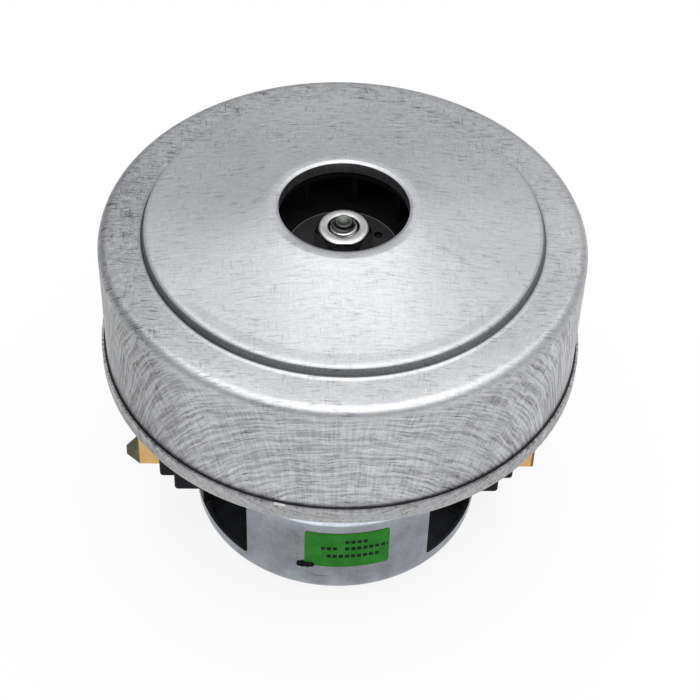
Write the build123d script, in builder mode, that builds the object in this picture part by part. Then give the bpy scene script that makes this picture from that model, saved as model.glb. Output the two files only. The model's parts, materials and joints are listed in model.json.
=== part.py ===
from build123d import *
import os
from math import cos, degrees, radians, sin

os.makedirs("parts", exist_ok=True)

# The part is a single-stage suction motor for a vacuum cleaner, standing on its lower bearing boss.
# Z is the shaft, with the air inlet at the top. The brushes lie along X, and the label faces -Y.

# Clearances, and how far a cutting body runs past what it cuts
press_gap = 0.05
slide_gap = 0.1
running_gap = 0.3
overrun = 2.0

# Heights that the shells set, one above the other
boss_depth = 5.55
can_height = 61.25
rim_height = 6.1
cover_rise = 43.0
can_floor_z = boss_depth
bracket_z = can_floor_z + can_height
rim_top_z = bracket_z + rim_height
land_z = bracket_z + cover_rise

# Fan cover, a pressed sheet with a flat land, a stepped shallow cone and a turned-down inlet
cover_sheet = 0.9
cover_radius = 66.4
cover_corner = 3.0
land_width = 11.1
groove_corner = 0.6
step_run = 0.7
step_rise = 2.3
step_corner = 1.0
shoulder_run = 2.2
shoulder_rise = 0.8
shoulder_rounding = 2.0
cone_rise = 4.56
lip_radius = 22.4
lip_rise = 2.74
lip_foot = 4.0
lip_corner = 1.4
inlet_radius = 17.6
inlet_depth = 4.8
groove_radius = cover_radius - land_width
shoulder_radius = groove_radius - step_run - shoulder_run
cone_top_z = land_z + step_rise + shoulder_rise + cone_rise
lip_z = cone_top_z + lip_rise

# Upper bracket, a pressed dish with a drawn cup for the upper bearing
bracket_sheet = 1.1
rim_bend = 2.0
cup_foot = 1.5
cup_corner = 0.5
air_slot_count = 6
air_slot_inner = 18.5
air_slot_wall_gap = 3.6
air_slot_angle = 42.0
air_slot_turn = 30.0
bracket_top_z = bracket_z + bracket_sheet
rim_radius = cover_radius + press_gap + bracket_sheet

# Motor can, a deep-drawn shell with a bearing boss below and a flange above
can_sheet = 0.9
can_radius = 42.5
can_corner = 3.0
can_flange_width = 9.5
can_flange_corner = 0.5
boss_corner = 1.5
boss_foot = 0.6
front_half_angle = 38.45
window_sill = 5.75
window_height = 25.7
window_corner = 1.3
can_inner = can_radius - can_sheet
can_flange_radius = can_radius + can_flange_width
air_slot_outer = can_inner - air_slot_wall_gap
can_inside_z = can_floor_z + can_sheet
window_z = can_floor_z + window_sill
window_top_z = window_z + window_height

# Ball bearing, the same at both ends of the shaft
bearing_bore = 4.0
bearing_radius = 11.0
bearing_width = 7.0
inner_shoulder = 6.05
outer_shoulder = 9.2
ball_circle_radius = 7.5
ball_radius = 1.98
ball_count = 7
groove_gap = 0.14
cage_inner = 6.7
cage_outer = 8.3
cage_half_width = 2.5
shield_sheet = 0.3
shield_inset = 0.35
ring_chamfer = 0.4

# Seats and clamps of the two bearings
seat_wall = 1.0
seat_corner = 0.8
clamp_sheet = 0.9
clamp_lip_radius = 9.6
lower_clamp_radius = 20.5
upper_clamp_radius = 17.4
rivet_radius = 1.25
rivet_head_radius = 2.1
rivet_head_height = 0.8
rivet_taper = 30.0
lower_rivet_circle_radius = 17.2
lower_rivet_count = 2
upper_rivet_circle_radius = 15.1
upper_rivet_count = 3
seat_outer = bearing_radius + press_gap + seat_wall
boss_inner = seat_outer + press_gap
boss_radius = boss_inner + can_sheet
seat_floor_z = can_sheet + press_gap
lower_bearing_z = seat_floor_z + seat_wall + press_gap
lower_bearing_top_z = lower_bearing_z + bearing_width
cup_inner = bearing_radius + press_gap
cup_hole = 7.2
upper_bearing_z = bracket_z + slide_gap
upper_bearing_top_z = upper_bearing_z + bearing_width
cup_ceiling_z = upper_bearing_top_z + press_gap

# Impeller, a moulded wheel with its shroud welded on, inside the ring of guide blades
guide_run = 9.1
wheel_gap = 2.4
backplate_sheet = 1.2
hub_depth = 6.8
hub_radius = 15.5
hub_rise = 1.2
hub_boss_radius = 9.0
hub_boss_height = 4.0
bush_radius = 6.5
vane_count = 9
vane_inner = 20.0
vane_edge_gap = 0.5
vane_thickness = 1.2
vane_sweep = 52.0
outlet_width = 5.4
shroud_sheet = 0.9
shroud_rise = 4.7
eye_gap = 0.4
eye_height = 2.5
eye_corner = 2.4
pocket_count = 1
pocket_circle_radius = 11.4
pocket_radius = 1.25
pocket_depth = 0.8
pocket_angle = 31.0
guide_inner = cover_radius - cover_sheet - guide_run
impeller_radius = guide_inner - wheel_gap
hub_top_z = land_z - hub_depth
backplate_top_z = hub_top_z - hub_rise
backplate_z = backplate_top_z - backplate_sheet
hub_bottom_z = backplate_z - hub_boss_height
shroud_rim_z = backplate_top_z + outlet_width
shroud_foot_z = shroud_rim_z + shroud_rise
eye_radius = inlet_radius + eye_gap

# Clamping washer, nut and spacer of the impeller
washer_radius = 8.0
washer_thickness = 1.5
nut_flats = 14.0
nut_height = 7.1
nut_chamfer = 0.45
nut_mouth_chamfer = 0.25
tip_height = 2.0
tip_chamfer = 1.5
spacer_radius = 6.0
nut_z = hub_top_z + washer_thickness
nut_top_z = nut_z + nut_height

# Shaft
shaft_radius = bearing_bore - press_gap
core_shaft_radius = 5.0
shaft_end_gap = 0.5
shaft_tip_z = nut_top_z + tip_height

# Diffuser, a moulded plate with guide blades round the wheel and return vanes below it
plate_gap = 1.2
diffuser_plate = 2.0
plate_overlap = 1.1
diffuser_bore_gap = 1.5
guide_count = 16
guide_depth = 12.0
guide_above = 6.5
guide_thickness = 1.5
guide_sweep = 15.0
wall_gap = 0.3
return_count = 12
return_inner = 21.0
return_edge_gap = 3.5
return_thickness = 1.6
return_sweep = -58.0
post_radius = 4.0
post_inset = 3.0
post_count = 3
post_hole_depth = 12.0
diffuser_radius = guide_inner + plate_overlap
return_outer = cover_radius - cover_sheet - return_edge_gap
post_circle_radius = air_slot_outer - post_inset
diffuser_top_z = backplate_z - plate_gap
diffuser_z = diffuser_top_z - diffuser_plate

# Screws
screw_radius = 2.0
screw_head_radius = 3.6
screw_head_height = 2.4
socket_depth = 1.3
socket_width = 1.0
socket_length = 4.4
bracket_screw_inset = 4.4
bracket_screw_turn = 45.0
bracket_screw_count = 4
bracket_screw_circle_radius = can_flange_radius - bracket_screw_inset
diffuser_screw_grip = 9.0

# Field: laminated core, two coils and two end insulators
stack_clearance = 2.0
stack_headroom = 7.8
air_gap = 0.6
flat_depth = 4.0
yoke_width = 6.6
coil_depth = 6.2
pole_tip_depth = 3.2
pole_half_angle = 38.0
pole_gap_half_angle = 20.0
core_flat = can_inner - flat_depth
field_slot_outer = core_flat - yoke_width
coil_half_angle = 62.0
coil_overhang = 4.8
coil_corner = 1.4
coil_gap = 0.4
end_plate = 0.8
end_wall_height = 4.4
end_wall_thickness = 1.1
end_wall_half_angle = 50.0

# Armature
armature_radius = field_slot_outer - coil_depth - pole_tip_depth - air_gap
slot_count = 12
slot_depth_share = 1 / 3
slot_width_share = 0.21
slot_rounding_share = 0.34
slot_mouth = 1.8
slot_cover = 1.6
liner_gap = 0.3
disc_sheet = 0.7
overhang_height = 4.4
overhang_inner = 8.0
overhang_inset = 1.4
overhang_corner = 1.6
slot_depth = armature_radius * slot_depth_share
slot_width = armature_radius * slot_width_share
slot_rounding = slot_width * slot_rounding_share
stack_z = window_top_z + stack_clearance
stack_top_z = bracket_z - stack_headroom
stack_height = stack_top_z - stack_z
field_bore = armature_radius + air_gap

# Commutator
commutator_radius = 12.0
commutator_hub_radius = 9.2
commutator_length = 16.4
bar_count = 24
bar_gap = 0.6
hook_height = 2.4
hook_reach = 2.0
hub_overhang = 0.6
winding_gap = 0.5

# Carbon brushes in brass tubes
brush_z = 22.9
brush_width = 6.2
brush_height = 11.7
brush_length = 27.7
brush_air = 0.3
tube_wall = 0.55
tube_start = 15.0
tube_end = 59.8
tube_corner = 0.5
tongue_length = 3.5
tongue_tip_height = 3.4
tongue_rounding = 1.0
tube_width = brush_width + 2 * (slide_gap + tube_wall)
tube_height = brush_height + 2 * (slide_gap + tube_wall)
brush_front = commutator_radius + brush_air

# Brush springs and the flexible leads inside them
spring_radius = 2.35
spring_wire = 0.35
spring_turns = 7.0
lead_radius = 0.7

# Brush holders, moulded pieces that fill the middle of each side opening
holder_angle = 19.5
holder_wall = 2.4
inner_sleeve_start = 19.0
outer_sleeve_end = 53.6
outer_sleeve_width = 13.2
outer_sleeve_height = 18.2
collar_end = 49.0
collar_width = 21.0
collar_height = 21.4
holder_corner = 1.3
holder_edge = 1.1
ear_angle = 15.0
ear_wall = 2.6
ear_rise = 15.0
ear_screw_rise = 8.5
ear_screw_offset = 6.6
holder_screw_radius = 1.5
holder_screw_head = 2.7
holder_screw_head_height = 1.6

# Supply tabs, one on each brush tube
tab_width = 4.8
tab_sheet = 0.8
tab_height = 8.0
tab_foot = 3.6
tab_hole = 0.9

# Label on the front of the can
label_start_angle = -13.1
label_end_angle = 20.3
label_z = 16.8
label_height = 15.1
label_sheet = 0.12
label_corner = 0.8

# Share of its turn that a curved blade has made at half its run, and how much of a screw's head is round
blade_lead_share = 0.62
head_rounding_share = 1 / 3

front_angle = -90.0
hands = {"left": -1, "right": 1}


def ring_sector(inner, outer, start, sweep, mode=Mode.ADD):
    """Fill a ring between two radii, from a start angle through a sweep in degrees."""
    with BuildLine() as outline:
        far = CenterArc((0, 0), outer, start, sweep)
        near = CenterArc((0, 0), inner, start, sweep)
        Line(far @ 0, near @ 0)
        Line(far @ 1, near @ 1)
    make_face(outline.edges(), mode=mode)


def curved_blade(inner, outer, start, sweep, thickness):
    """Fill a blade in plan that runs from one radius to another and turns through a sweep."""
    middle = (inner + outer) / 2
    stations = ((inner, start), (middle, start + sweep * blade_lead_share), (outer, start + sweep))
    flanks = []
    for side in (-1, 1):
        flank = []
        for radius, angle in stations:
            turned = radians(angle) + side * thickness / 2 / radius
            flank.append((radius * cos(turned), radius * sin(turned)))
        flanks.append(flank)
    with BuildLine() as outline:
        ThreePointArc(*flanks[0])
        ThreePointArc(*flanks[1])
        Line(flanks[0][0], flanks[1][0])
        Line(flanks[0][2], flanks[1][2])
    make_face(outline.edges())


def outward(side, distance):
    """The plane that faces out along X on one side, with its middle on the brush's axis."""
    return Plane(origin=(side * distance, 0, brush_z), x_dir=(0, side, 0), z_dir=(side, 0, 0))


def cap_screw(seat, shank, radius, head_radius, head_height):
    """A pan-head screw: the head stands out of its seat plane, and the shank goes in."""
    with BuildPart() as screw:
        with BuildSketch(seat):
            Circle(head_radius)
        extrude(amount=head_height)
        head_top = screw.faces().sort_by(Axis(seat.origin, seat.z_dir))[-1]
        fillet(head_top.edges(), head_height * head_rounding_share)
        with BuildSketch(seat):
            Circle(radius)
        extrude(amount=-shank)
        with BuildSketch(seat.offset(head_height)):
            Rectangle(socket_length * head_radius / screw_head_radius, socket_width)
            Rectangle(socket_width, socket_length * head_radius / screw_head_radius)
        extrude(amount=-socket_depth * head_height / screw_head_height, mode=Mode.SUBTRACT)
    return screw.part


# Fan cover
with BuildPart() as fan_cover:
    with BuildSketch(Plane.XZ):
        with BuildLine():
            FilletPolyline(
                (cover_radius, bracket_z + rim_bend + press_gap),
                (cover_radius, land_z),
                (groove_radius, land_z),
                (groove_radius - step_run, land_z + step_rise),
                (shoulder_radius, land_z + step_rise + shoulder_rise),
                (lip_radius, cone_top_z),
                (inlet_radius, lip_z),
                (inlet_radius, lip_z - inlet_depth),
                radius=[cover_corner, groove_corner, step_corner, shoulder_rounding, lip_foot, lip_corner],
            )
            offset(amount=cover_sheet, side=Side.LEFT, closed=True)
        make_face()
    revolve(axis=Axis.Z)
fan_cover.part.label = "fan_cover"
export_step(fan_cover.part, "parts/fan_cover.step")

# Upper bracket
with BuildPart() as upper_bracket:
    with BuildSketch(Plane.XZ):
        with BuildLine():
            FilletPolyline(
                (rim_radius, rim_top_z),
                (rim_radius, bracket_z),
                (cup_inner, bracket_z),
                (cup_inner, cup_ceiling_z),
                (cup_hole, cup_ceiling_z),
                radius=[rim_bend, cup_foot, cup_corner],
            )
            offset(amount=bracket_sheet, side=Side.RIGHT, closed=True)
        make_face()
    revolve(axis=Axis.Z)
    with BuildSketch(Plane.XY.offset(bracket_z - overrun)):
        for number in range(air_slot_count):
            start = air_slot_turn + number * 360 / air_slot_count - air_slot_angle / 2
            ring_sector(air_slot_inner, air_slot_outer, start, air_slot_angle)
    extrude(amount=bracket_sheet + 2 * overrun, mode=Mode.SUBTRACT)
    with BuildSketch(Plane.XY.offset(bracket_z - overrun)):
        with PolarLocations(bracket_screw_circle_radius, bracket_screw_count, bracket_screw_turn):
            Circle(screw_radius + press_gap)
        with PolarLocations(post_circle_radius, post_count):
            Circle(screw_radius + press_gap)
        with PolarLocations(upper_rivet_circle_radius, upper_rivet_count):
            Circle(rivet_radius + press_gap)
    extrude(amount=bracket_sheet + 2 * overrun, mode=Mode.SUBTRACT)
upper_bracket.part.label = "upper_bracket"
export_step(upper_bracket.part, "parts/upper_bracket.step")

# Motor can
with BuildPart() as motor_can:
    with BuildSketch(Plane.XZ):
        with BuildLine():
            FilletPolyline(
                (can_flange_radius, bracket_z - can_sheet),
                (can_radius, bracket_z - can_sheet),
                (can_radius, can_floor_z),
                (boss_radius, can_floor_z),
                (boss_radius, 0),
                (0, 0),
                radius=[can_flange_corner, can_corner, boss_foot, boss_corner],
            )
            offset(amount=can_sheet, side=Side.RIGHT, closed=True)
        make_face()
    revolve(axis=Axis.Z)
    with BuildSketch(Plane.XY.offset(window_z)):
        for side_angle in (0, 180):
            half = 90 - front_half_angle
            ring_sector(can_inner - overrun, can_radius + overrun, side_angle - half, 2 * half)
    extrude(amount=window_height, mode=Mode.SUBTRACT)
    corners = motor_can.edges().filter_by(GeomType.LINE)
    corners = corners.filter_by(lambda edge: abs(edge.length - can_sheet) < press_gap)
    corners = corners.filter_by_position(Axis.Z, window_z - press_gap, window_top_z + press_gap)
    fillet(corners, window_corner)
    with BuildSketch(Plane.XY.offset(can_floor_z - overrun)):
        with PolarLocations(lower_rivet_circle_radius, lower_rivet_count):
            Circle(rivet_radius + press_gap)
    extrude(amount=can_sheet + 2 * overrun, mode=Mode.SUBTRACT)
    with BuildSketch(Plane.XY.offset(bracket_z - can_sheet - overrun)):
        with PolarLocations(bracket_screw_circle_radius, bracket_screw_count, bracket_screw_turn):
            Circle(screw_radius + press_gap)
    extrude(amount=can_sheet + 2 * overrun, mode=Mode.SUBTRACT)
    with BuildSketch(Plane.YZ.offset(-can_radius - overrun)):
        with Locations((0, window_top_z + ear_screw_rise)):
            with GridLocations(2 * ear_screw_offset, 0, 2, 1):
                Circle(holder_screw_radius + press_gap)
    extrude(amount=2 * (can_radius + overrun), mode=Mode.SUBTRACT)
motor_can.part.label = "motor_can"
export_step(motor_can.part, "parts/motor_can.step")


def bearing(place, bottom_z):
    """Write the pieces of one ball bearing, whose lower faces lie at the height given."""
    middle_z = bottom_z + bearing_width / 2
    pieces = {}
    with BuildPart() as outer_ring:
        with BuildSketch(Plane.XY.offset(bottom_z)):
            Circle(bearing_radius)
            Circle(outer_shoulder, mode=Mode.SUBTRACT)
        extrude(amount=bearing_width)
        rims = outer_ring.edges().filter_by(GeomType.CIRCLE)
        rims = rims.filter_by(lambda edge: abs(edge.radius - bearing_radius) < press_gap)
        chamfer(rims, ring_chamfer)
        with BuildSketch(Plane.XZ):
            with Locations((ball_circle_radius, middle_z)):
                Circle(ball_radius + groove_gap)
        revolve(axis=Axis.Z, mode=Mode.SUBTRACT)
    pieces["outer_ring"] = outer_ring
    with BuildPart() as inner_ring:
        with BuildSketch(Plane.XY.offset(bottom_z)):
            Circle(inner_shoulder)
            Circle(bearing_bore, mode=Mode.SUBTRACT)
        extrude(amount=bearing_width)
        with BuildSketch(Plane.XZ):
            with Locations((ball_circle_radius, middle_z)):
                Circle(ball_radius + groove_gap)
        revolve(axis=Axis.Z, mode=Mode.SUBTRACT)
    pieces["inner_ring"] = inner_ring
    with BuildPart(Plane.XY.offset(middle_z)) as balls:
        with PolarLocations(ball_circle_radius, ball_count):
            Sphere(ball_radius)
    pieces["balls"] = balls
    with BuildPart(Plane.XY.offset(middle_z)) as cage:
        with BuildSketch(Plane.XY.offset(middle_z - cage_half_width)):
            Circle(cage_outer)
            Circle(cage_inner, mode=Mode.SUBTRACT)
        extrude(amount=2 * cage_half_width)
        with PolarLocations(ball_circle_radius, ball_count):
            Cylinder(ball_radius + slide_gap, 2 * overrun, rotation=(0, 90, 0), mode=Mode.SUBTRACT)
    pieces["cage"] = cage
    with BuildPart() as shields:
        for shield_z in (bottom_z + shield_inset, bottom_z + bearing_width - shield_inset - shield_sheet):
            with BuildSketch(Plane.XY.offset(shield_z)):
                Circle(outer_shoulder - press_gap)
                Circle(inner_shoulder + running_gap, mode=Mode.SUBTRACT)
            extrude(amount=shield_sheet)
    pieces["shields"] = shields
    for word, piece in pieces.items():
        piece.part.label = f"{place}_bearing_{word}"
        export_step(piece.part, f"parts/{place}_bearing_{word}.step")


bearing("lower", lower_bearing_z)
bearing("upper", upper_bearing_z)

# Rubber seat of the lower bearing, a cup in the can's boss
with BuildPart() as lower_bearing_seat:
    with BuildSketch(Plane.XY.offset(seat_floor_z)):
        Circle(seat_outer)
    extrude(amount=can_floor_z - seat_floor_z)
    fillet(lower_bearing_seat.faces().sort_by(Axis.Z)[0].edges(), seat_corner)
    with BuildSketch(Plane.XY.offset(seat_floor_z + seat_wall)):
        Circle(bearing_radius + press_gap)
    extrude(amount=can_floor_z, mode=Mode.SUBTRACT)
lower_bearing_seat.part.label = "lower_bearing_seat"
export_step(lower_bearing_seat.part, "parts/lower_bearing_seat.step")

# Clamp of the lower bearing, a pressed hat on the can's end wall
with BuildPart() as lower_bearing_clamp:
    with BuildSketch(Plane.XZ):
        with BuildLine():
            FilletPolyline(
                (lower_clamp_radius, can_inside_z + press_gap),
                (cup_inner, can_inside_z + press_gap),
                (cup_inner, lower_bearing_top_z + press_gap),
                (clamp_lip_radius, lower_bearing_top_z + press_gap),
                radius=[clamp_sheet + slide_gap, slide_gap],
            )
            offset(amount=clamp_sheet, side=Side.RIGHT, closed=True)
        make_face()
    revolve(axis=Axis.Z)
    with BuildSketch(Plane.XY.offset(can_inside_z - overrun)):
        with PolarLocations(lower_rivet_circle_radius, lower_rivet_count):
            Circle(rivet_radius + press_gap)
    extrude(amount=clamp_sheet + 2 * overrun, mode=Mode.SUBTRACT)
lower_bearing_clamp.part.label = "lower_bearing_clamp"
export_step(lower_bearing_clamp.part, "parts/lower_bearing_clamp.step")

# Clamp of the upper bearing, a flat ring under the bracket
with BuildPart() as upper_bearing_clamp:
    with BuildSketch(Plane.XY.offset(bracket_z - press_gap - clamp_sheet)):
        Circle(upper_clamp_radius)
        Circle(clamp_lip_radius, mode=Mode.SUBTRACT)
        with PolarLocations(upper_rivet_circle_radius, upper_rivet_count):
            Circle(rivet_radius + press_gap, mode=Mode.SUBTRACT)
    extrude(amount=clamp_sheet)
upper_bearing_clamp.part.label = "upper_bearing_clamp"
export_step(upper_bearing_clamp.part, "parts/upper_bearing_clamp.step")


def rivets(node, place, count, low_z, high_z):
    """Write a ring of rivets that hold together what lies between two heights."""
    with BuildPart() as group:
        with BuildSketch(Plane.XY.offset(low_z)):
            with PolarLocations(place, count):
                Circle(rivet_radius)
        extrude(amount=high_z - low_z)
        for head_z, direction in ((low_z, -1), (high_z, 1)):
            with BuildSketch(Plane.XY.offset(head_z)):
                with PolarLocations(place, count):
                    Circle(rivet_head_radius)
            extrude(amount=direction * rivet_head_height, taper=rivet_taper)
    group.part.label = node
    export_step(group.part, f"parts/{node}.step")


rivets(
    "lower_clamp_rivets",
    lower_rivet_circle_radius,
    lower_rivet_count,
    can_floor_z - press_gap,
    can_inside_z + 2 * press_gap + clamp_sheet,
)
rivets(
    "upper_clamp_rivets",
    upper_rivet_circle_radius,
    upper_rivet_count,
    bracket_z - 2 * press_gap - clamp_sheet,
    bracket_top_z + press_gap,
)

# Diffuser
with BuildPart() as diffuser:
    with BuildSketch(Plane.XY.offset(diffuser_z)):
        Circle(diffuser_radius)
    extrude(amount=diffuser_plate)
    with BuildSketch(Plane.XY.offset(diffuser_z - guide_depth)):
        for number in range(guide_count):
            curved_blade(
                guide_inner,
                cover_radius - cover_sheet - wall_gap,
                number * 360 / guide_count,
                guide_sweep,
                guide_thickness,
            )
    extrude(amount=guide_depth + diffuser_plate + guide_above)
    with BuildSketch(Plane.XY.offset(bracket_top_z + press_gap)):
        for number in range(return_count):
            start = number * 360 / return_count
            curved_blade(return_inner, return_outer, start, return_sweep, return_thickness)
        with PolarLocations(post_circle_radius, post_count):
            Circle(post_radius)
    extrude(amount=diffuser_z - bracket_top_z - press_gap)
    with BuildSketch(Plane.XY.offset(bracket_top_z - overrun)):
        with PolarLocations(post_circle_radius, post_count):
            Circle(screw_radius + press_gap)
    extrude(amount=overrun + post_hole_depth, mode=Mode.SUBTRACT)
    with BuildSketch(Plane.XY.offset(bracket_top_z)):
        Circle(hub_boss_radius + diffuser_bore_gap)
    extrude(amount=diffuser_top_z + overrun - bracket_top_z, mode=Mode.SUBTRACT)
diffuser.part.label = "diffuser"
export_step(diffuser.part, "parts/diffuser.step")

# Impeller wheel: backplate, hub and vanes moulded together, vanes cut to the shroud's underside
with BuildPart() as impeller_wheel:
    with BuildSketch(Plane.XY.offset(backplate_z)):
        Circle(impeller_radius)
    extrude(amount=backplate_sheet)
    with BuildSketch(Plane.XY.offset(hub_bottom_z)):
        Circle(hub_boss_radius)
    extrude(amount=hub_boss_height)
    with BuildSketch(Plane.XY.offset(backplate_top_z)):
        for number in range(vane_count):
            curved_blade(
                vane_inner,
                impeller_radius - vane_edge_gap,
                number * 360 / vane_count,
                vane_sweep,
                vane_thickness,
            )
    extrude(amount=shroud_foot_z + overrun - backplate_top_z)
    with BuildSketch(Plane.XZ):
        slope = shroud_rise / (impeller_radius - eye_radius)
        Polygon(
            (0, shroud_foot_z + eye_radius * slope - press_gap),
            (impeller_radius + overrun, shroud_rim_z - overrun * slope - press_gap),
            (impeller_radius + overrun, shroud_foot_z + 2 * overrun),
            (0, shroud_foot_z + eye_radius * slope + 2 * overrun),
            align=None,
        )
    revolve(axis=Axis.Z, mode=Mode.SUBTRACT)
    with BuildSketch(Plane.XY.offset(backplate_top_z)):
        Circle(hub_radius)
    extrude(amount=hub_rise)
    with BuildSketch(Plane.XY.offset(hub_bottom_z - overrun)):
        Circle(bush_radius + press_gap)
    extrude(amount=hub_top_z - hub_bottom_z + 2 * overrun, mode=Mode.SUBTRACT)
    with BuildSketch(Plane.XY.offset(hub_top_z)):
        with PolarLocations(pocket_circle_radius, pocket_count, start_angle=pocket_angle):
            Circle(pocket_radius)
    extrude(amount=-pocket_depth, mode=Mode.SUBTRACT)
impeller_wheel.part.label = "impeller_wheel"
export_step(impeller_wheel.part, "parts/impeller_wheel.step")

# Impeller shroud, with a collar round the eye
with BuildPart() as impeller_shroud:
    with BuildSketch(Plane.XZ):
        with BuildLine():
            FilletPolyline(
                (impeller_radius, shroud_rim_z),
                (eye_radius, shroud_foot_z),
                (eye_radius, shroud_foot_z + eye_height),
                radius=eye_corner,
            )
            offset(amount=shroud_sheet, side=Side.RIGHT, closed=True)
        make_face()
    revolve(axis=Axis.Z)
impeller_shroud.part.label = "impeller_shroud"
export_step(impeller_shroud.part, "parts/impeller_shroud.step")


def sleeve(node, outer, inner, low_z, high_z):
    """Write a plain ring on the shaft between two heights."""
    with BuildPart() as ring:
        with BuildSketch(Plane.XY.offset(low_z)):
            Circle(outer)
            Circle(inner, mode=Mode.SUBTRACT)
        extrude(amount=high_z - low_z)
    ring.part.label = node
    export_step(ring.part, f"parts/{node}.step")


sleeve("impeller_bush", bush_radius, bearing_bore, hub_bottom_z, hub_top_z)
sleeve("impeller_washer", washer_radius, bearing_bore, hub_top_z, nut_z)
sleeve("impeller_spacer", spacer_radius, bearing_bore, upper_bearing_top_z, hub_bottom_z)

# Hexagon nut, its top corners turned away, one flat facing the front
with BuildPart() as impeller_nut:
    with BuildSketch(Plane.XY.offset(nut_z)):
        RegularPolygon(nut_flats / 2, 6, major_radius=False)
        Circle(bearing_bore, mode=Mode.SUBTRACT)
    extrude(amount=nut_height)
    with BuildSketch(Plane.XZ):
        Polygon(
            (nut_flats / 2 - nut_chamfer, nut_top_z),
            (nut_flats, nut_top_z),
            (nut_flats, nut_top_z - nut_chamfer - nut_flats / 2),
            align=None,
        )
    revolve(axis=Axis.Z, mode=Mode.SUBTRACT)
    mouth = impeller_nut.edges().filter_by(GeomType.CIRCLE)
    mouth = mouth.filter_by(lambda edge: abs(edge.radius - bearing_bore) < press_gap)
    chamfer(mouth, nut_mouth_chamfer)
impeller_nut.part.label = "impeller_nut"
export_step(impeller_nut.part, "parts/impeller_nut.step")

# Shaft
with BuildPart() as shaft:
    with BuildSketch(Plane.XY.offset(lower_bearing_z + shaft_end_gap)):
        Circle(shaft_radius)
    extrude(amount=shaft_tip_z - lower_bearing_z - shaft_end_gap)
    chamfer(shaft.faces().sort_by(Axis.Z)[-1].edges(), tip_chamfer)
    with BuildSketch(Plane.XY.offset(lower_bearing_top_z)):
        Circle(core_shaft_radius)
    extrude(amount=upper_bearing_z - lower_bearing_top_z)
shaft.part.label = "shaft"
export_step(shaft.part, "parts/shaft.step")


def armature_section(inset):
    """The slotted section of the armature, or of the discs on its ends when inset."""
    Circle(armature_radius - inset)
    Circle(core_shaft_radius + press_gap, mode=Mode.SUBTRACT)
    slot_middle = armature_radius - slot_cover - slot_depth / 2
    with PolarLocations(slot_middle, slot_count):
        RectangleRounded(slot_depth, slot_width, slot_rounding, mode=Mode.SUBTRACT)
    with PolarLocations(armature_radius - slot_cover, slot_count):
        Rectangle(2 * slot_cover + overrun, slot_mouth, mode=Mode.SUBTRACT)


# Armature core and the insulating discs on its ends
armature_levels = {
    "armature_core": (stack_z, stack_height, 0),
    "armature_disc_lower": (stack_z - disc_sheet, disc_sheet, liner_gap),
    "armature_disc_upper": (stack_top_z, disc_sheet, liner_gap),
}
for node, (level, height, inset) in armature_levels.items():
    with BuildPart() as laminations:
        with BuildSketch(Plane.XY.offset(level)):
            armature_section(inset)
        extrude(amount=height)
    laminations.part.label = node
    export_step(laminations.part, f"parts/{node}.step")

# Armature winding: one bundle in each slot, joined by the end turns
overhang_outer = armature_radius - overhang_inset
winding_z = stack_z - disc_sheet - overhang_height
winding_top_z = stack_top_z + disc_sheet + overhang_height
with BuildPart() as armature_winding:
    for level in (winding_z, stack_top_z + disc_sheet):
        with BuildSketch(Plane.XY.offset(level)):
            Circle(overhang_outer)
            Circle(overhang_inner, mode=Mode.SUBTRACT)
        extrude(amount=overhang_height)
    outer_rims = armature_winding.edges().filter_by(GeomType.CIRCLE)
    for level in (winding_z, winding_top_z):
        rim = outer_rims.filter_by_position(Axis.Z, level - press_gap, level + press_gap)
        fillet(rim, overhang_corner)
    with BuildSketch(Plane.XY.offset(stack_z - disc_sheet)):
        with PolarLocations(armature_radius - slot_cover - slot_depth / 2, slot_count):
            RectangleRounded(
                slot_depth - 2 * liner_gap,
                slot_width - 2 * liner_gap,
                slot_rounding - liner_gap,
            )
    extrude(amount=stack_height + 2 * disc_sheet)
armature_winding.part.label = "armature_winding"
export_step(armature_winding.part, "parts/armature_winding.step")

# Commutator: moulded hub with copper bars round it, each with a hook for its wire
hook_top_z = winding_z - winding_gap
bar_top_z = hook_top_z - hook_height
bar_z = bar_top_z - commutator_length
with BuildPart() as commutator_hub:
    with BuildSketch(Plane.XY.offset(bar_z - hub_overhang)):
        Circle(commutator_hub_radius)
        Circle(core_shaft_radius + press_gap, mode=Mode.SUBTRACT)
    extrude(amount=hook_top_z - bar_z + hub_overhang)
commutator_hub.part.label = "commutator_hub"
export_step(commutator_hub.part, "parts/commutator_hub.step")

with BuildPart() as commutator_bars:
    bar_angle = 360 / bar_count - degrees(bar_gap / commutator_radius)
    hook_angle = bar_angle / 2
    bar_inner = commutator_hub_radius + press_gap
    with BuildSketch(Plane.XY.offset(bar_z)):
        for number in range(bar_count):
            ring_sector(bar_inner, commutator_radius, number * 360 / bar_count - bar_angle / 2, bar_angle)
    extrude(amount=commutator_length + hook_height)
    with BuildSketch(Plane.XY.offset(bar_top_z)):
        for number in range(bar_count):
            start = number * 360 / bar_count - hook_angle / 2
            ring_sector(bar_inner, commutator_radius + hook_reach, start, hook_angle)
    extrude(amount=hook_height)
commutator_bars.part.label = "commutator_bars"
export_step(commutator_bars.part, "parts/commutator_bars.step")

# Field core: a ring with two poles, flattened beside the brushes
slot_inner = field_bore + pole_tip_depth
with BuildPart() as stator_core:
    with BuildSketch(Plane.XY.offset(stack_z)):
        Circle(can_inner - press_gap)
        Rectangle(2 * core_flat, 2 * can_radius, mode=Mode.INTERSECT)
        Circle(field_bore, mode=Mode.SUBTRACT)
        for side_angle in (0, 180):
            half = 90 - pole_half_angle
            ring_sector(slot_inner, field_slot_outer, side_angle - half, 2 * half, Mode.SUBTRACT)
            ring_sector(
                field_bore - overrun,
                slot_inner + overrun,
                side_angle - pole_gap_half_angle,
                2 * pole_gap_half_angle,
                Mode.SUBTRACT,
            )
    extrude(amount=stack_height)
stator_core.part.label = "stator_core"
export_step(stator_core.part, "parts/stator_core.step")

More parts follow.
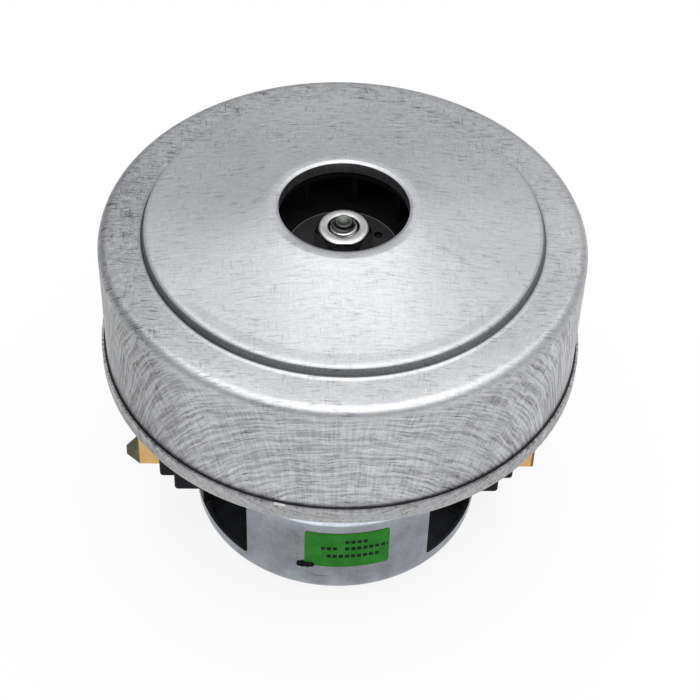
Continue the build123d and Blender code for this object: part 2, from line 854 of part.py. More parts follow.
# End insulators: a thin plate on each end of the field core, with a wall inside each coil
end_levels = {
    "field_insulator_lower": (stack_z - press_gap, -1),
    "field_insulator_upper": (stack_top_z + press_gap, 1),
}
for node, (level, direction) in end_levels.items():
    with BuildPart() as end_insulator:
        with BuildSketch(Plane.XY.offset(level)):
            Circle(field_slot_outer + end_wall_thickness)
            Circle(field_bore + running_gap, mode=Mode.SUBTRACT)
            for side_angle in (0, 180):
                half = 90 - pole_half_angle
                ring_sector(slot_inner, field_slot_outer, side_angle - half, 2 * half, Mode.SUBTRACT)
                ring_sector(
                    field_bore - overrun,
                    slot_inner + overrun,
                    side_angle - pole_gap_half_angle,
                    2 * pole_gap_half_angle,
                    Mode.SUBTRACT,
                )
        extrude(amount=direction * end_plate)
        with BuildSketch(Plane.XY.offset(level + direction * end_plate)):
            for pole_angle in (-90, 90):
                start = pole_angle - end_wall_half_angle
                wall_inner = field_bore + running_gap
                ring_sector(wall_inner, wall_inner + end_wall_thickness, start, 2 * end_wall_half_angle)
        extrude(amount=direction * end_wall_height)
    end_insulator.part.label = node
    export_step(end_insulator.part, f"parts/{node}.step")

# Field coils, one round each pole
coil_inner = slot_inner + coil_gap
coil_outer = field_slot_outer - coil_gap
coil_window = end_plate + 2 * press_gap
for node, pole_angle in (("field_coil_front", -90), ("field_coil_rear", 90)):
    with BuildPart() as coil:
        with BuildSketch(Plane.XY.offset(stack_z - coil_window - coil_overhang)):
            ring_sector(coil_inner, coil_outer, pole_angle - coil_half_angle, 2 * coil_half_angle)
        extrude(amount=stack_height + 2 * (coil_window + coil_overhang))
        uprights = coil.edges().filter_by(Axis.Z)
        fillet(uprights, coil_corner)
        window_half = pole_half_angle + degrees(coil_gap / coil_inner)
        with BuildSketch(Plane.XY.offset(stack_z - coil_window)):
            start = pole_angle - window_half
            ring_sector(coil_inner - overrun, coil_outer + overrun, start, 2 * window_half)
        extrude(amount=stack_height + 2 * coil_window, mode=Mode.SUBTRACT)
    coil.part.label = node
    export_step(coil.part, f"parts/{node}.step")

# Screws that hold the can to the bracket, and the diffuser to the bracket, all from below
with BuildPart() as bracket_screws:
    for number in range(bracket_screw_count):
        angle = radians(bracket_screw_turn + number * 360 / bracket_screw_count)
        seat = Plane(
            origin=(
                bracket_screw_circle_radius * cos(angle),
                bracket_screw_circle_radius * sin(angle),
                bracket_z - can_sheet - press_gap,
            ),
            z_dir=(0, 0, -1),
        )
        shank = can_sheet + bracket_sheet + press_gap
        add(cap_screw(seat, shank, screw_radius, screw_head_radius, screw_head_height))
bracket_screws.part.label = "bracket_screws"
export_step(bracket_screws.part, "parts/bracket_screws.step")

with BuildPart() as diffuser_screws:
    for number in range(post_count):
        angle = radians(number * 360 / post_count)
        seat = Plane(
            origin=(
                post_circle_radius * cos(angle),
                post_circle_radius * sin(angle),
                bracket_z - press_gap,
            ),
            z_dir=(0, 0, -1),
        )
        shank = bracket_sheet + diffuser_screw_grip
        add(cap_screw(seat, shank, screw_radius, screw_head_radius, screw_head_height))
diffuser_screws.part.label = "diffuser_screws"
export_step(diffuser_screws.part, "parts/diffuser_screws.step")


def brush_gear(hand, side):
    """Write the brush holder, tube, brush, spring, lead, supply tab and screws of one side."""
    middle = 0 if side > 0 else 180
    outward_axis = Axis((0, 0, brush_z), (side, 0, 0))
    pieces = {}

    # Holder: a curved pad flush with the can, an inner and an outer sleeve, a collar and an ear
    with BuildPart() as holder:
        with BuildSketch(Plane.XY.offset(window_z + slide_gap)):
            ring_sector(can_inner - holder_wall, can_radius, middle - holder_angle, 2 * holder_angle)
        extrude(amount=window_height - 2 * slide_gap)
        with BuildSketch(Plane.XY.offset(brush_z)):
            ear_inner = can_radius + press_gap
            ring_sector(ear_inner, ear_inner + ear_wall, middle - ear_angle, 2 * ear_angle)
        extrude(amount=window_top_z + ear_rise - brush_z)
        pad_inner = can_inner - holder_wall
        with BuildSketch(outward(side, pad_inner)):
            RectangleRounded(collar_width, collar_height, holder_corner)
        extrude(amount=collar_end - pad_inner)
        fillet(holder.faces().sort_by(outward_axis)[-1].edges(), holder_edge)
        with BuildSketch(outward(side, inner_sleeve_start)):
            RectangleRounded(outer_sleeve_width, outer_sleeve_height, holder_corner)
        extrude(amount=outer_sleeve_end - inner_sleeve_start)
        fillet(holder.faces().sort_by(outward_axis)[-1].edges(), holder_edge)
        with BuildSketch(outward(side, 0)):
            Rectangle(tube_width + 2 * slide_gap, tube_height + 2 * slide_gap)
        extrude(amount=outer_sleeve_end + overrun, mode=Mode.SUBTRACT)
        with BuildSketch(Plane.YZ.offset(side * can_inner)):
            with Locations((0, window_top_z + ear_screw_rise)):
                with GridLocations(2 * ear_screw_offset, 0, 2, 1):
                    Circle(holder_screw_radius + press_gap)
        extrude(amount=side * (ear_wall + 2 * overrun), mode=Mode.SUBTRACT)
    pieces["brush_holder"] = holder

    # Brass tube, closed at its outer end, where one side wall runs on as a pointed tongue
    with BuildPart() as tube:
        with BuildSketch(outward(side, tube_start)):
            RectangleRounded(tube_width, tube_height, tube_corner)
        extrude(amount=tube_end - tube_start)
        with BuildSketch(outward(side, tube_start)):
            Rectangle(tube_width - 2 * tube_wall, tube_height - 2 * tube_wall)
        extrude(amount=tube_end - tube_wall - tube_start, mode=Mode.SUBTRACT)
        tongue_foot = tube_height / 2 - tube_corner
        tongue_wall = Plane(
            origin=(0, side * tube_width / 2, brush_z),
            x_dir=(side, 0, 0),
            z_dir=(0, -side, 0),
        )
        with BuildSketch(tongue_wall):
            Polygon(
                (tube_end - tube_wall, -tongue_foot),
                (tube_end, -tongue_foot),
                (tube_end + tongue_length, -tongue_tip_height / 2),
                (tube_end + tongue_length, tongue_tip_height / 2),
                (tube_end, tongue_foot),
                (tube_end - tube_wall, tongue_foot),
                align=None,
            )
            fillet(vertices().group_by(Axis.X)[-1], tongue_rounding)
        extrude(amount=tube_wall)
    pieces["brush_tube"] = tube

    # Carbon brush, hollowed to the commutator's curve
    with BuildPart() as brush:
        with BuildSketch(outward(side, commutator_radius - overrun)):
            Rectangle(brush_width, brush_height)
        extrude(amount=brush_front + brush_length - commutator_radius + overrun)
        with BuildSketch(Plane.XY.offset(brush_z - brush_height)):
            Circle(brush_front)
        extrude(amount=2 * brush_height, mode=Mode.SUBTRACT)
    pieces["carbon_brush"] = brush

    # Spring from the brush's back to the tube's closed end
    spring_start = brush_front + brush_length + spring_wire + press_gap
    spring_seat = tube_end - tube_wall - press_gap
    spring_end = spring_seat - spring_wire
    with BuildPart() as spring:
        with BuildLine() as coil_line:
            Helix(
                pitch=(spring_end - spring_start) / spring_turns,
                height=spring_end - spring_start,
                radius=spring_radius,
                center=(side * spring_start, 0, brush_z),
                direction=(side, 0, 0),
            )
        wire_start = Plane(origin=coil_line.line @ 0, z_dir=coil_line.line % 0)
        with BuildSketch(wire_start):
            Circle(spring_wire)
        sweep(path=coil_line.line, is_frenet=True)
    pieces["brush_spring"] = spring

    # Flexible lead along the spring's axis
    with BuildPart() as lead:
        with BuildSketch(outward(side, brush_front + brush_length)):
            Circle(lead_radius)
        extrude(amount=spring_seat - brush_front - brush_length)
    pieces["brush_lead"] = lead

    # Supply tab on top of the tube, just outside the holder
    with BuildPart() as tab:
        tube_top_z = brush_z + tube_height / 2
        tab_middle = outer_sleeve_end + slide_gap + tab_foot / 2
        with BuildSketch(Plane.XY.offset(tube_top_z)):
            with Locations((side * tab_middle, 0)):
                Rectangle(tab_foot, tab_width)
        extrude(amount=tab_sheet)
        with BuildSketch(Plane.XY.offset(tube_top_z)):
            with Locations((side * (outer_sleeve_end + slide_gap + tab_sheet / 2), 0)):
                Rectangle(tab_sheet, tab_width)
        extrude(amount=tab_height)
        with BuildSketch(outward(side, outer_sleeve_end)):
            with Locations((0, tube_height / 2 + tab_height - tab_width / 2)):
                Circle(tab_hole)
        extrude(amount=tab_foot, mode=Mode.SUBTRACT)
    pieces["supply_tab"] = tab

    # Two screws through the ear into the can's wall
    with BuildPart() as screws:
        for offset_y in (-ear_screw_offset, ear_screw_offset):
            head_x = can_radius + press_gap + ear_wall
            seat = Plane(
                origin=(side * head_x, offset_y, window_top_z + ear_screw_rise),
                z_dir=(side, 0, 0),
            )
            shank = head_x - core_flat - running_gap
            add(
                cap_screw(
                    seat,
                    shank,
                    holder_screw_radius,
                    holder_screw_head,
                    holder_screw_head_height,
                )
            )
    pieces["holder_screws"] = screws

    for word, piece in pieces.items():
        piece.part.label = f"{word}_{hand}"
        export_step(piece.part, f"parts/{word}_{hand}.step")


for hand, side in hands.items():
    brush_gear(hand, side)

# Label, a thin sticker wrapped on the can's front
with BuildPart() as label:
    with BuildSketch(Plane.XY.offset(label_z)):
        sticker_inner = can_radius + press_gap
        sweep_angle = label_end_angle - label_start_angle
        start = front_angle + label_start_angle
        ring_sector(sticker_inner, sticker_inner + label_sheet, start, sweep_angle)
    extrude(amount=label_height)
    corners = label.edges().filter_by(GeomType.LINE)
    corners = corners.filter_by(lambda edge: edge.length < 2 * label_sheet)
    fillet(corners, label_corner)
label.part.label = "label"
export_step(label.part, "parts/label.step")

overall_height = fan_cover.part.bounding_box().max.Z
print("overall height:", round(overall_height, 2), "overall width:", round(2 * rim_radius, 2))
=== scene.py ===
import json
import math

import bpy
from mathutils import Matrix, Vector


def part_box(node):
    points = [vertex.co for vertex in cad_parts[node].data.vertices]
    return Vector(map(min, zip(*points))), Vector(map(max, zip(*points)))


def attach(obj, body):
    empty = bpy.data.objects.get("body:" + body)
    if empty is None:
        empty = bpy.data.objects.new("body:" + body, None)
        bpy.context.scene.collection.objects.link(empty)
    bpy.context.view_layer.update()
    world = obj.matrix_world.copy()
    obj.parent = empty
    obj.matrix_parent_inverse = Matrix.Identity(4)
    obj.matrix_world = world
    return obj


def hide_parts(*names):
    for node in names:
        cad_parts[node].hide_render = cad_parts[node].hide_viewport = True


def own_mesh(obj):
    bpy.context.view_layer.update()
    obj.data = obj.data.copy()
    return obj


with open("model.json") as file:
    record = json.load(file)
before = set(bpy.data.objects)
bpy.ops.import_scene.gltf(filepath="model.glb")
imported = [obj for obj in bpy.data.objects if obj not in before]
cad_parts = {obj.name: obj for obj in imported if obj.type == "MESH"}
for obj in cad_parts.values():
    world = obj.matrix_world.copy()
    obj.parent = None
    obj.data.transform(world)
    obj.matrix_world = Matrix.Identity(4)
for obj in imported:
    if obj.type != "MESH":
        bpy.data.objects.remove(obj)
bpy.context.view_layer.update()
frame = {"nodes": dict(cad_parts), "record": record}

# Sizes are in millimetres, in the same frame as the solids. MM turns them into metres.
MM = 0.001
WHOLE_TURN = 2 * math.pi

# Fan cover: its wall, land, step, dome and inlet
COVER_RADIUS = 66.4
COVER_FOOT_Z = 68.85
LAND_Z = 109.8
STEP_RADIUS = 54.5
SHOULDER_Z = 112.65
DOME_RADIUS = 52.4
DOME_FOOT_Z = 112.9
LIP_RADIUS = 20.4
LIP_Z = 119.1
INLET_RADIUS = 17.6
INLET_FOOT_Z = 115.4
SHEET = 0.9

# Bracket and its upturned rim
BRACKET_Z = 66.8
RIM_TOP_Z = 72.9
RIM_RADIUS = 67.55

# Shaft, nut and the hub face of the impeller wheel
THREAD_FOOT_Z = 109.4
THREAD_RADIUS = 3.6
THREAD_DEPTH = 0.5
SHAFT_TIP_Z = 113.6
NUT_FOOT_Z = 104.5
NUT_TOP_Z = 111.6
NUT_BORE = 3.97
HUB_RADIUS = 15.5
HUB_TOP_Z = 103.0

# Can, and the label on it: angles in degrees from the front, positive to the right
CAN_RADIUS = 42.5
LABEL_START, LABEL_END = -13.1, 20.3
LABEL_LOW_Z, LABEL_HIGH_Z = 16.8, 31.9
LABEL_CORNER = 0.9
LABEL_LIFT = 0.05
LABEL_THICKNESS = 0.12
# Rows of dashes on the label: height, and start and end along the can's wall
LABEL_ROWS = ((28.2, 1.4, 8.7), (25.3, -4.9, 14.6), (21.9, -3.5, 12.5))
DASH_PITCH = 1.75
DASH_HALF_HEIGHT = 0.72

# Brushes and their tubes
TUBE_END = 59.8


# Node trees
class Term:
    """A number worked out by nodes. Terms add, subtract and multiply like plain numbers."""

    def __init__(self, nodes, socket):
        self.nodes = nodes
        self.socket = socket

    def __add__(self, other):
        return self.nodes.formula("ADD", self, other)

    def __sub__(self, other):
        return self.nodes.formula("SUBTRACT", self, other)

    def __rsub__(self, other):
        return self.nodes.formula("SUBTRACT", other, self)

    def __mul__(self, other):
        return self.nodes.formula("MULTIPLY", self, other)

    __radd__ = __add__
    __rmul__ = __mul__

    def ramp(self, low, high, start=0.0, end=1.0, curve="LINEAR"):
        """Goes from start to end while the number goes from low to high."""
        made = self.nodes.node("ShaderNodeMapRange", interpolation_type=curve)
        for socket, value in zip(made.inputs, (self, low, high, start, end)):
            self.nodes.put(socket, value)
        return Term(self.nodes, made.outputs[0])

    def band(self, low, high, start=0.0, end=1.0):
        """A ramp that begins and ends softly."""
        return self.ramp(low, high, start, end, "SMOOTHSTEP")

    def between(self, low, high, soft):
        """1 from low to high and 0 beyond, with soft edges."""
        return self.band(low - soft, low + soft) * self.band(high - soft, high + soft, 1.0, 0.0)

    def centred(self, gain):
        """How far a pattern lies above or below its middle, times a gain."""
        return (self - 0.5) * gain


class Nodes:
    """The node tree of a material or of the world."""

    def __init__(self, owner):
        owner.use_nodes = True
        self.tree = owner.node_tree
        self.tree.nodes.clear()

    def node(self, kind, **settings):
        made = self.tree.nodes.new(kind)
        for key, value in settings.items():
            setattr(made, key, value)
        return made

    def put(self, socket, value):
        """Gives a socket a number, a colour, or the result of other nodes."""
        if isinstance(value, Term):
            value = value.socket
        if isinstance(value, bpy.types.NodeSocket):
            self.tree.links.new(value, socket)
        elif isinstance(value, tuple):
            socket.default_value = (*value, 1)
        else:
            socket.default_value = value

    def formula(self, operation, *values):
        made = self.node("ShaderNodeMath", operation=operation)
        for socket, value in zip(made.inputs, values):
            self.put(socket, value)
        return Term(self, made.outputs[0])

    def split(self, vector):
        made = self.node("ShaderNodeSeparateXYZ")
        self.put(made.inputs[0], vector)
        return [Term(self, socket) for socket in made.outputs]

    def join(self, x, y, z):
        made = self.node("ShaderNodeCombineXYZ")
        for socket, value in zip(made.inputs, (x, y, z)):
            self.put(socket, value)
        return made.outputs[0]


class Shade(Nodes):
    """One procedural material, built round a Principled shader. fixed holds the shader's plain values."""

    def __init__(self, name, metallic=0.0, **fixed):
        self.material = bpy.data.materials.new(name)
        super().__init__(self.material)
        output = self.node("ShaderNodeOutputMaterial")
        self.shader = self.node("ShaderNodeBsdfPrincipled")
        self.put(output.inputs["Surface"], self.shader.outputs["BSDF"])
        self.shader.inputs["Metallic"].default_value = metallic
        for key, value in fixed.items():
            self.shader.inputs[key.replace("_", " ")].default_value = value
        self.place = self.scaled(self.node("ShaderNodeTexCoord").outputs["Object"], 1 / MM)
        self.x, self.y, self.z = self.split(self.place)

    def scaled(self, vector, factor):
        made = self.node("ShaderNodeVectorMath", operation="SCALE")
        self.put(made.inputs[0], vector)
        self.put(made.inputs["Scale"], factor)
        return made.outputs[0]

    def radius(self):
        return self.formula("SQRT", self.x * self.x + self.y * self.y)

    def around(self, radius):
        """The way round Z from the front, along a circle of this radius."""
        return self.formula("ARCTAN2", self.x, self.y * -1.0) * radius

    def noise(self, place, scale=1.0, detail=2.0, roughness=0.5):
        made = self.node("ShaderNodeTexNoise")
        settings = {"Vector": place, "Scale": scale, "Detail": detail, "Roughness": roughness}
        for key, value in settings.items():
            self.put(made.inputs[key], value)
        return Term(self, made.outputs["Fac"])

    def mix(self, factor, first, second):
        made = self.node("ShaderNodeMix", data_type="RGBA")
        for number, value in ((0, factor), (6, first), (7, second)):
            self.put(made.inputs[number], value)
        return made.outputs[2]

    def tinted(self, color, tone):
        """A colour, plain or from nodes, darker where the tone is under 1 and paler where it is over."""
        if isinstance(color, tuple):
            plain = self.node("ShaderNodeRGB")
            plain.outputs[0].default_value = (*color, 1)
            color = plain.outputs[0]
        return self.scaled(color, tone)

    def finish(self, color, roughness, height, distance, strength):
        """Links colour, roughness and relief. distance is the relief's full height."""
        bump = self.node("ShaderNodeBump")
        bump.inputs["Distance"].default_value = distance * MM
        bump.inputs["Strength"].default_value = strength
        self.put(bump.inputs["Height"], height)
        self.put(self.shader.inputs["Base Color"], color)
        self.put(self.shader.inputs["Roughness"], roughness)
        self.put(self.shader.inputs["Normal"], bump.outputs[0])
        return self.material


# Materials
class Galvanised(Shade):
    """Skin-passed galvanised sheet.

    Its rolling marks were straight on the flat blank, and bend where the blank was drawn into a wall. They
    read like linen: dashes along the rolling direction, which is X, and fewer across it.
    """

    def __init__(self, name, wall_radius):
        super().__init__(name, metallic=1.0)
        self.wall_radius = wall_radius
        self.from_axis = self.radius()

    def draw_marks(self, depth):
        """Lays the marks over the sheet. depth is how far along the wall a point lies."""
        stretch = self.formula("SQRT", depth * (2.0 / self.wall_radius) + 1.0)
        u = self.x * stretch
        v = self.y * stretch
        flat = self.join(u, v, 0.0)
        warp = self.noise(flat, 0.07)
        u = u + warp * 2.0
        v = v + warp * 3.0

        def streaks(along, across, seed):
            return self.noise(self.join(u * along, v * across, seed), 1.0, 3.0, 0.62)

        weft = streaks(0.20, 1.70, 1.0)
        weft_fine = streaks(0.45, 3.40, 5.0)
        warp_lines = streaks(1.60, 0.20, 9.0)
        warp_fine = streaks(3.20, 0.50, 13.0)
        ripple = streaks(0.060, 1.05, 17.0)
        ripple_across = streaks(0.90, 0.080, 21.0)
        mottle = self.noise(flat, 0.55, 3.0, 0.6)
        patch = self.noise(flat, 0.10)
        patch_across = self.noise(self.join(u, v, 40.0), 0.13)
        cloud = self.noise(self.join(u, v, 80.0), 0.035)
        self.grain = self.noise(flat, 2.6, 4.0, 0.65)

        dark_weft = weft.band(0.53, 0.66) * patch.band(0.38, 0.60, 0.30, 1.0)
        dark_warp = warp_lines.band(0.55, 0.68) * patch_across.band(0.42, 0.62, 0.10, 1.0)
        pale_weft = weft.band(0.44, 0.32) * patch_across.band(0.35, 0.6, 0.3, 1.0)
        pale_warp = warp_lines.band(0.42, 0.30) * patch.band(0.35, 0.6, 0.2, 1.0)
        flecks_along = weft_fine.band(0.60, 0.70) * mottle.band(0.45, 0.62)
        flecks_across = warp_fine.band(0.62, 0.72) * patch.band(0.45, 0.60)
        flecks = self.formula("MAXIMUM", flecks_along, flecks_across)
        fine = weft_fine.centred(0.50) + warp_fine.centred(0.30) + self.grain.centred(0.40)
        fine = fine + dark_weft * -0.30 + dark_warp * -0.20 + flecks * -0.34
        fine = fine + pale_weft * 0.10 + pale_warp * 0.09

        waves = ripple.band(0.43, 0.56, -0.17, 0.12) + ripple_across.band(0.42, 0.58, -0.09, 0.08)
        waves = waves + ripple_across.band(0.60, 0.68) * patch.band(0.45, 0.6, 0.0, -0.22)
        waves = waves + ripple.centred(0.5)
        self.on_wall = depth.band(0.5, 5.0)
        self.rough = 0.37 + self.grain * 0.12 + flecks * 0.12
        self.relief = weft * 0.6 + warp_lines * 0.4 + ripple * self.on_wall
        self.weigh_marks(fine, waves, mottle, cloud)

    def weigh_marks(self, fine, waves, mottle, cloud):
        """Sets the tone, with painted shade and painted light on the land. Marks show most on the land's
        rear left, the dome's rear and the wall's sides.
        """
        on_land = self.from_axis.band(STEP_RADIUS, STEP_RADIUS + 1.5) * self.on_wall.band(0.0, 1.0, 1.0, 0.0)
        rear_left = (self.y - self.x).band(-60.0, 70.0)
        land_gain = on_land * rear_left.band(0.0, 1.0, 0.35, 1.0)
        dome_rear = self.y.band(5.0, 45.0) * self.from_axis.band(STEP_RADIUS, STEP_RADIUS - 1.5)
        gain = 1.0 + land_gain * 0.9 + self.on_wall * 0.45 + dome_rear * 0.8

        # painted shade and light: the land is darker at its rear and left, and brighter at its front
        painted_lighting = rear_left.band(0.0, 1.0, -0.10, -0.27) + self.y.band(-35.0, -60.0, 0.0, 0.18)
        painted_lighting = painted_lighting + self.y.band(40.0, 60.0, 0.0, 0.05) + self.x.band(-40.0, -60.0, 0.0, -0.09)
        tone = 1.07 + on_land * painted_lighting + fine * gain + cloud.centred(0.30)
        tone = tone + mottle.centred(0.55) * (land_gain + 0.25 + dome_rear * 0.4)

        sides = self.on_wall * self.formula("ABSOLUTE", self.x).band(28.0, 60.0)
        waves = waves * (1.0 + sides * 0.45)
        tone = tone + waves * self.on_wall.band(0.0, 1.0, 0.12, 1.0)
        self.tone = self.formula("MAXIMUM", tone, 0.25)

    def fade(self, mask, factor):
        """Multiplies the tone by a factor where the mask is 1, as painted shade."""
        self.tone = self.tone * mask.band(0.0, 1.0, 1.0, factor)

    def seal(self, color):
        return self.finish(color, self.rough, self.relief, distance=0.012, strength=0.6)


def bracket_sheet():
    """The bracket: a dull, spotted rim with a painted highlight at its bend, and painted shade on its inner
    top edge but for one painted glint.
    """
    s = Galvanised("galvanised_steel", RIM_RADIUS)
    s.draw_marks(s.formula("MAXIMUM", s.z - (BRACKET_Z + 1.1), 0.0))
    spots = s.noise(s.place, 0.9, 3.0, 0.65)
    tone = s.tone * s.from_axis.band(RIM_RADIUS - 1.55, RIM_RADIUS - 0.25, 1.0, 0.78)
    tone = tone + spots.band(0.56, 0.66) * -0.22 + spots.band(0.42, 0.32) * 0.22
    # painted highlight along the rim's bottom bend
    bend = s.z.band(BRACKET_Z + 1.3, BRACKET_Z + 0.5)
    bend = bend * s.from_axis.band(RIM_RADIUS - 2.75, RIM_RADIUS - 1.15)
    tone = tone * (1.0 + bend * 0.55)
    color = s.tinted((0.470, 0.473, 0.480), tone)
    # painted shade on the rim's inner top edge, at the seam with the cover
    painted_seam_shade = s.from_axis.band(RIM_RADIUS - 0.50, RIM_RADIUS - 0.70)
    color = s.mix(s.z.band(RIM_TOP_Z - 0.12, RIM_TOP_Z - 0.02) * painted_seam_shade, color, (0.035, 0.035, 0.037))
    # a painted glint on the rim's top edge
    glint = s.around(RIM_RADIUS).between(-18.2, -15.2, 0.3) * s.z.band(RIM_TOP_Z - 0.22, RIM_TOP_Z - 0.12)
    glint = glint * s.from_axis.band(RIM_RADIUS - 0.70, RIM_RADIUS - 0.45)
    return s.seal(s.mix(glint, color, (0.95, 0.95, 0.95)))


def cover_sheet():
    """The cover: painted shade in its step, on its sides, round its dome and ring and in its throat, and on
    its cut lower edge with a few painted glints.
    """
    s = Galvanised("cover_skin", COVER_RADIUS)
    s.draw_marks(s.formula("MAXIMUM", (LAND_Z - 0.4) - s.z, 0.0))
    # painted shade in the step's recess, darker on the left and low in the step
    step = s.from_axis.between(STEP_RADIUS - 1.15, STEP_RADIUS + 0.35, 0.12)
    step = step * s.z.between(LAND_Z + 0.35, LAND_Z + 2.45, 0.12)
    painted_step_shade = s.grain.band(0.3, 0.7, 0.42, 0.60) + s.x.band(-15.0, -40.0, 0.0, 0.14)
    painted_step_shade = painted_step_shade + s.z.band(LAND_Z + 1.15, LAND_Z + 0.75, 0.0, 0.20)
    s.tone = s.tone * (1.0 - step * painted_step_shade)

    # painted shade: the wall is darker on both sides, most on the left, and so is the dome beside its front
    # and on the left
    s.fade(s.on_wall * s.x.band(-28.0, -60.0), 0.70)
    aside = s.formula("ABSOLUTE", s.x)
    painted_dome_shade = s.formula("MAXIMUM", aside.band(8.0, 28.0) * s.y.band(-2.0, -14.0), s.x.band(-15.0, -35.0))
    painted_dome_shade = painted_dome_shade * s.from_axis.band(DOME_RADIUS + 1.1, DOME_RADIUS + 0.1)
    s.fade(s.formula("MAXIMUM", s.on_wall * aside.band(15.0, 35.0), painted_dome_shade), 0.92)

    # painted shade: the dome's foot and the level ring round the inlet are darker in front, and the throat
    # is darker inside
    s.fade(s.from_axis.between(DOME_RADIUS - 2.8, DOME_RADIUS - 0.2, 0.5) * s.y.band(-20.0, -40.0), 0.87)
    ring = s.from_axis.between(INLET_RADIUS + 0.4, INLET_RADIUS + 3.2, 0.3) * s.y.band(-6.0, -17.0)
    s.fade(ring * s.z.band(LIP_Z - 0.9, LIP_Z - 0.5), 0.74)
    throat = s.from_axis.band(INLET_RADIUS + 0.25, INLET_RADIUS + 0.10)
    s.fade(throat * s.z.band(LIP_Z - 0.35, LIP_Z - 0.5), 0.52)
    color = s.tinted((0.470, 0.474, 0.485), s.tone)
    # painted shade on the cover's cut lower edge, with a few painted glints
    painted_glints = s.noise(s.join(s.around(COVER_RADIUS) * 0.22, 0.0, 3.0)).band(0.60, 0.66)
    cut = s.mix(painted_glints, (0.05, 0.05, 0.052), (0.95, 0.95, 0.95))
    return s.seal(s.mix(s.z.band(COVER_FOOT_Z + 0.6, COVER_FOOT_Z + 0.2), color, cut))


def can_sheet():
    """The can: satin, blue-grey, cloudy and lightly scuffed, with faint upright drawing lines."""
    s = Shade("can_steel", metallic=1.0)
    around = s.around(CAN_RADIUS)
    lines = s.noise(s.join(around * 1.3, s.z * 0.09, 0.0), 1.0, 3.0, 0.6)
    wide = s.noise(s.join(around * 0.12, s.z * 0.03, 4.0))
    grain = s.noise(s.place, 1.6, 4.0, 0.65)
    blotch = s.noise(s.place, 0.16, 3.0, 0.6)
    spots = s.noise(s.join(around, s.z, 0.0), 0.8, 3.0, 0.6)
    tone = 1.0 + lines.centred(0.22) + wide.centred(0.45) + grain.centred(0.30)
    tone = tone + blotch.centred(0.80) + spots.centred(0.45) + spots.band(0.40, 0.31) * 0.14

    # paler near the bottom; a painted highlight at the flange's bend, and a painted highlight band above the
    # label that fades into a painted sheen below it
    tone = tone * s.z.band(15.0, 6.0, 1.0, 1.35)
    tone = tone * (1.0 + s.z.band(BRACKET_Z - 1.9, BRACKET_Z - 0.9) * 0.7)
    painted_band_highlight = s.z.between(35.3, 38.2, 0.45) * around.between(-16.0, 19.0, 6.0)
    painted_sheen = painted_band_highlight * 1.7 + s.z.band(27.0, 36.0, 0.0, 0.30)
    tone = tone * (1.0 + painted_sheen * s.z.band(40.5, 38.5))
    color = s.tinted((0.243, 0.258, 0.284), tone)
    scuff = around.between(-7.6, -2.2, 0.5) * s.z.between(11.9, 12.4, 0.25)
    scuff = scuff * s.noise(s.place, 1.3).band(0.42, 0.58)
    color = s.mix(scuff * 0.6, color, (0.06, 0.06, 0.065))
    return s.finish(color, 0.30 + grain * 0.14, lines + grain * 0.4, distance=0.008, strength=0.5)


def bright_metal(name, color, roughness, mottle=0.15, turned=0.0, is_nut=False):
    """Plated, turned or ground metal with fine scratches. The nut has painted shade in its bore and on its
    top face.
    """
    s = Shade(name, metallic=1.0)
    grain = s.noise(s.place, 3.0, 3.0, 0.6)
    cloud = s.noise(s.place, 0.35)
    tone = 1.0 + cloud.centred(mottle * 2) + grain.centred(mottle)
    height = grain
    if turned:
        rings = s.noise(s.join(s.radius() * 6.0, s.z * 6.0, 0.0))
        tone = tone + rings.centred(turned)
        height = grain + rings
    if is_nut:
        # painted shade in the nut's bore and on its top face
        tone = tone * s.radius().band(NUT_BORE + 0.23, NUT_BORE + 0.43, 0.10, 1.0)
        tone = tone * s.z.band(NUT_TOP_Z - 0.25, NUT_TOP_Z - 0.05, 1.0, 0.84)
    rough = (roughness - 0.05) + cloud * 0.10
    return s.finish(s.tinted(color, tone), rough, height, distance=0.006, strength=0.5)


def shaft_steel():
    """Ground steel, greyer where the thread is cut, with painted shade in its grooves, painted light on its
    crests and a dark tip.
    """
    s = Shade("shaft_steel", metallic=1.0)
    grain = s.noise(s.place, 3.0, 3.0, 0.6)
    cloud = s.noise(s.place, 0.5)
    radius = s.radius()
    ground = s.tinted((0.60, 0.60, 0.61), 0.85 + cloud * 0.3)
    cut = s.tinted((0.47, 0.47, 0.46), 0.6 + grain * 0.8)
    # painted shade in the thread's grooves and painted light on its crests
    cut = s.tinted(cut, radius.band(THREAD_RADIUS - 0.45, THREAD_RADIUS - 0.1, 0.15, 1.25))
    tip = s.tinted((0.10, 0.11, 0.098), 0.6 + grain * 0.8)
    color = s.mix(s.z.band(THREAD_FOOT_Z - 0.2, THREAD_FOOT_Z + 0.2), ground, cut)
    on_tip = s.z.band(SHAFT_TIP_Z - 1.0, SHAFT_TIP_Z - 0.8) * radius.band(2.45, 2.3)
    color = s.mix(on_tip, color, tip)
    return s.finish(color, 0.22 + cloud * 0.16, grain, distance=0.01, strength=0.5)


def laminated():
    """Electrical steel laminations: fine layers across Z under a dark oxide film."""
    s = Shade("lamination_steel", metallic=0.85)
    layers = s.z * 2.0
    share = s.formula("FRACT", layers)
    groove = share.band(0.0, 0.18) * share.band(0.82, 1.0, 1.0, 0.0)
    layer = s.noise(s.join(0.0, 0.0, s.formula("FLOOR", layers)), 0.73, 0.0)
    grain = s.noise(s.place, 1.5, 3.0, 0.6)
    tone = (0.75 + layer * 0.3 + grain.centred(0.3)) * groove.band(0.0, 1.0, 0.45, 1.0)
    color = s.tinted((0.17, 0.175, 0.185), tone)
    return s.finish(color, 0.42 + grain * 0.15, groove, distance=0.08, strength=0.7)


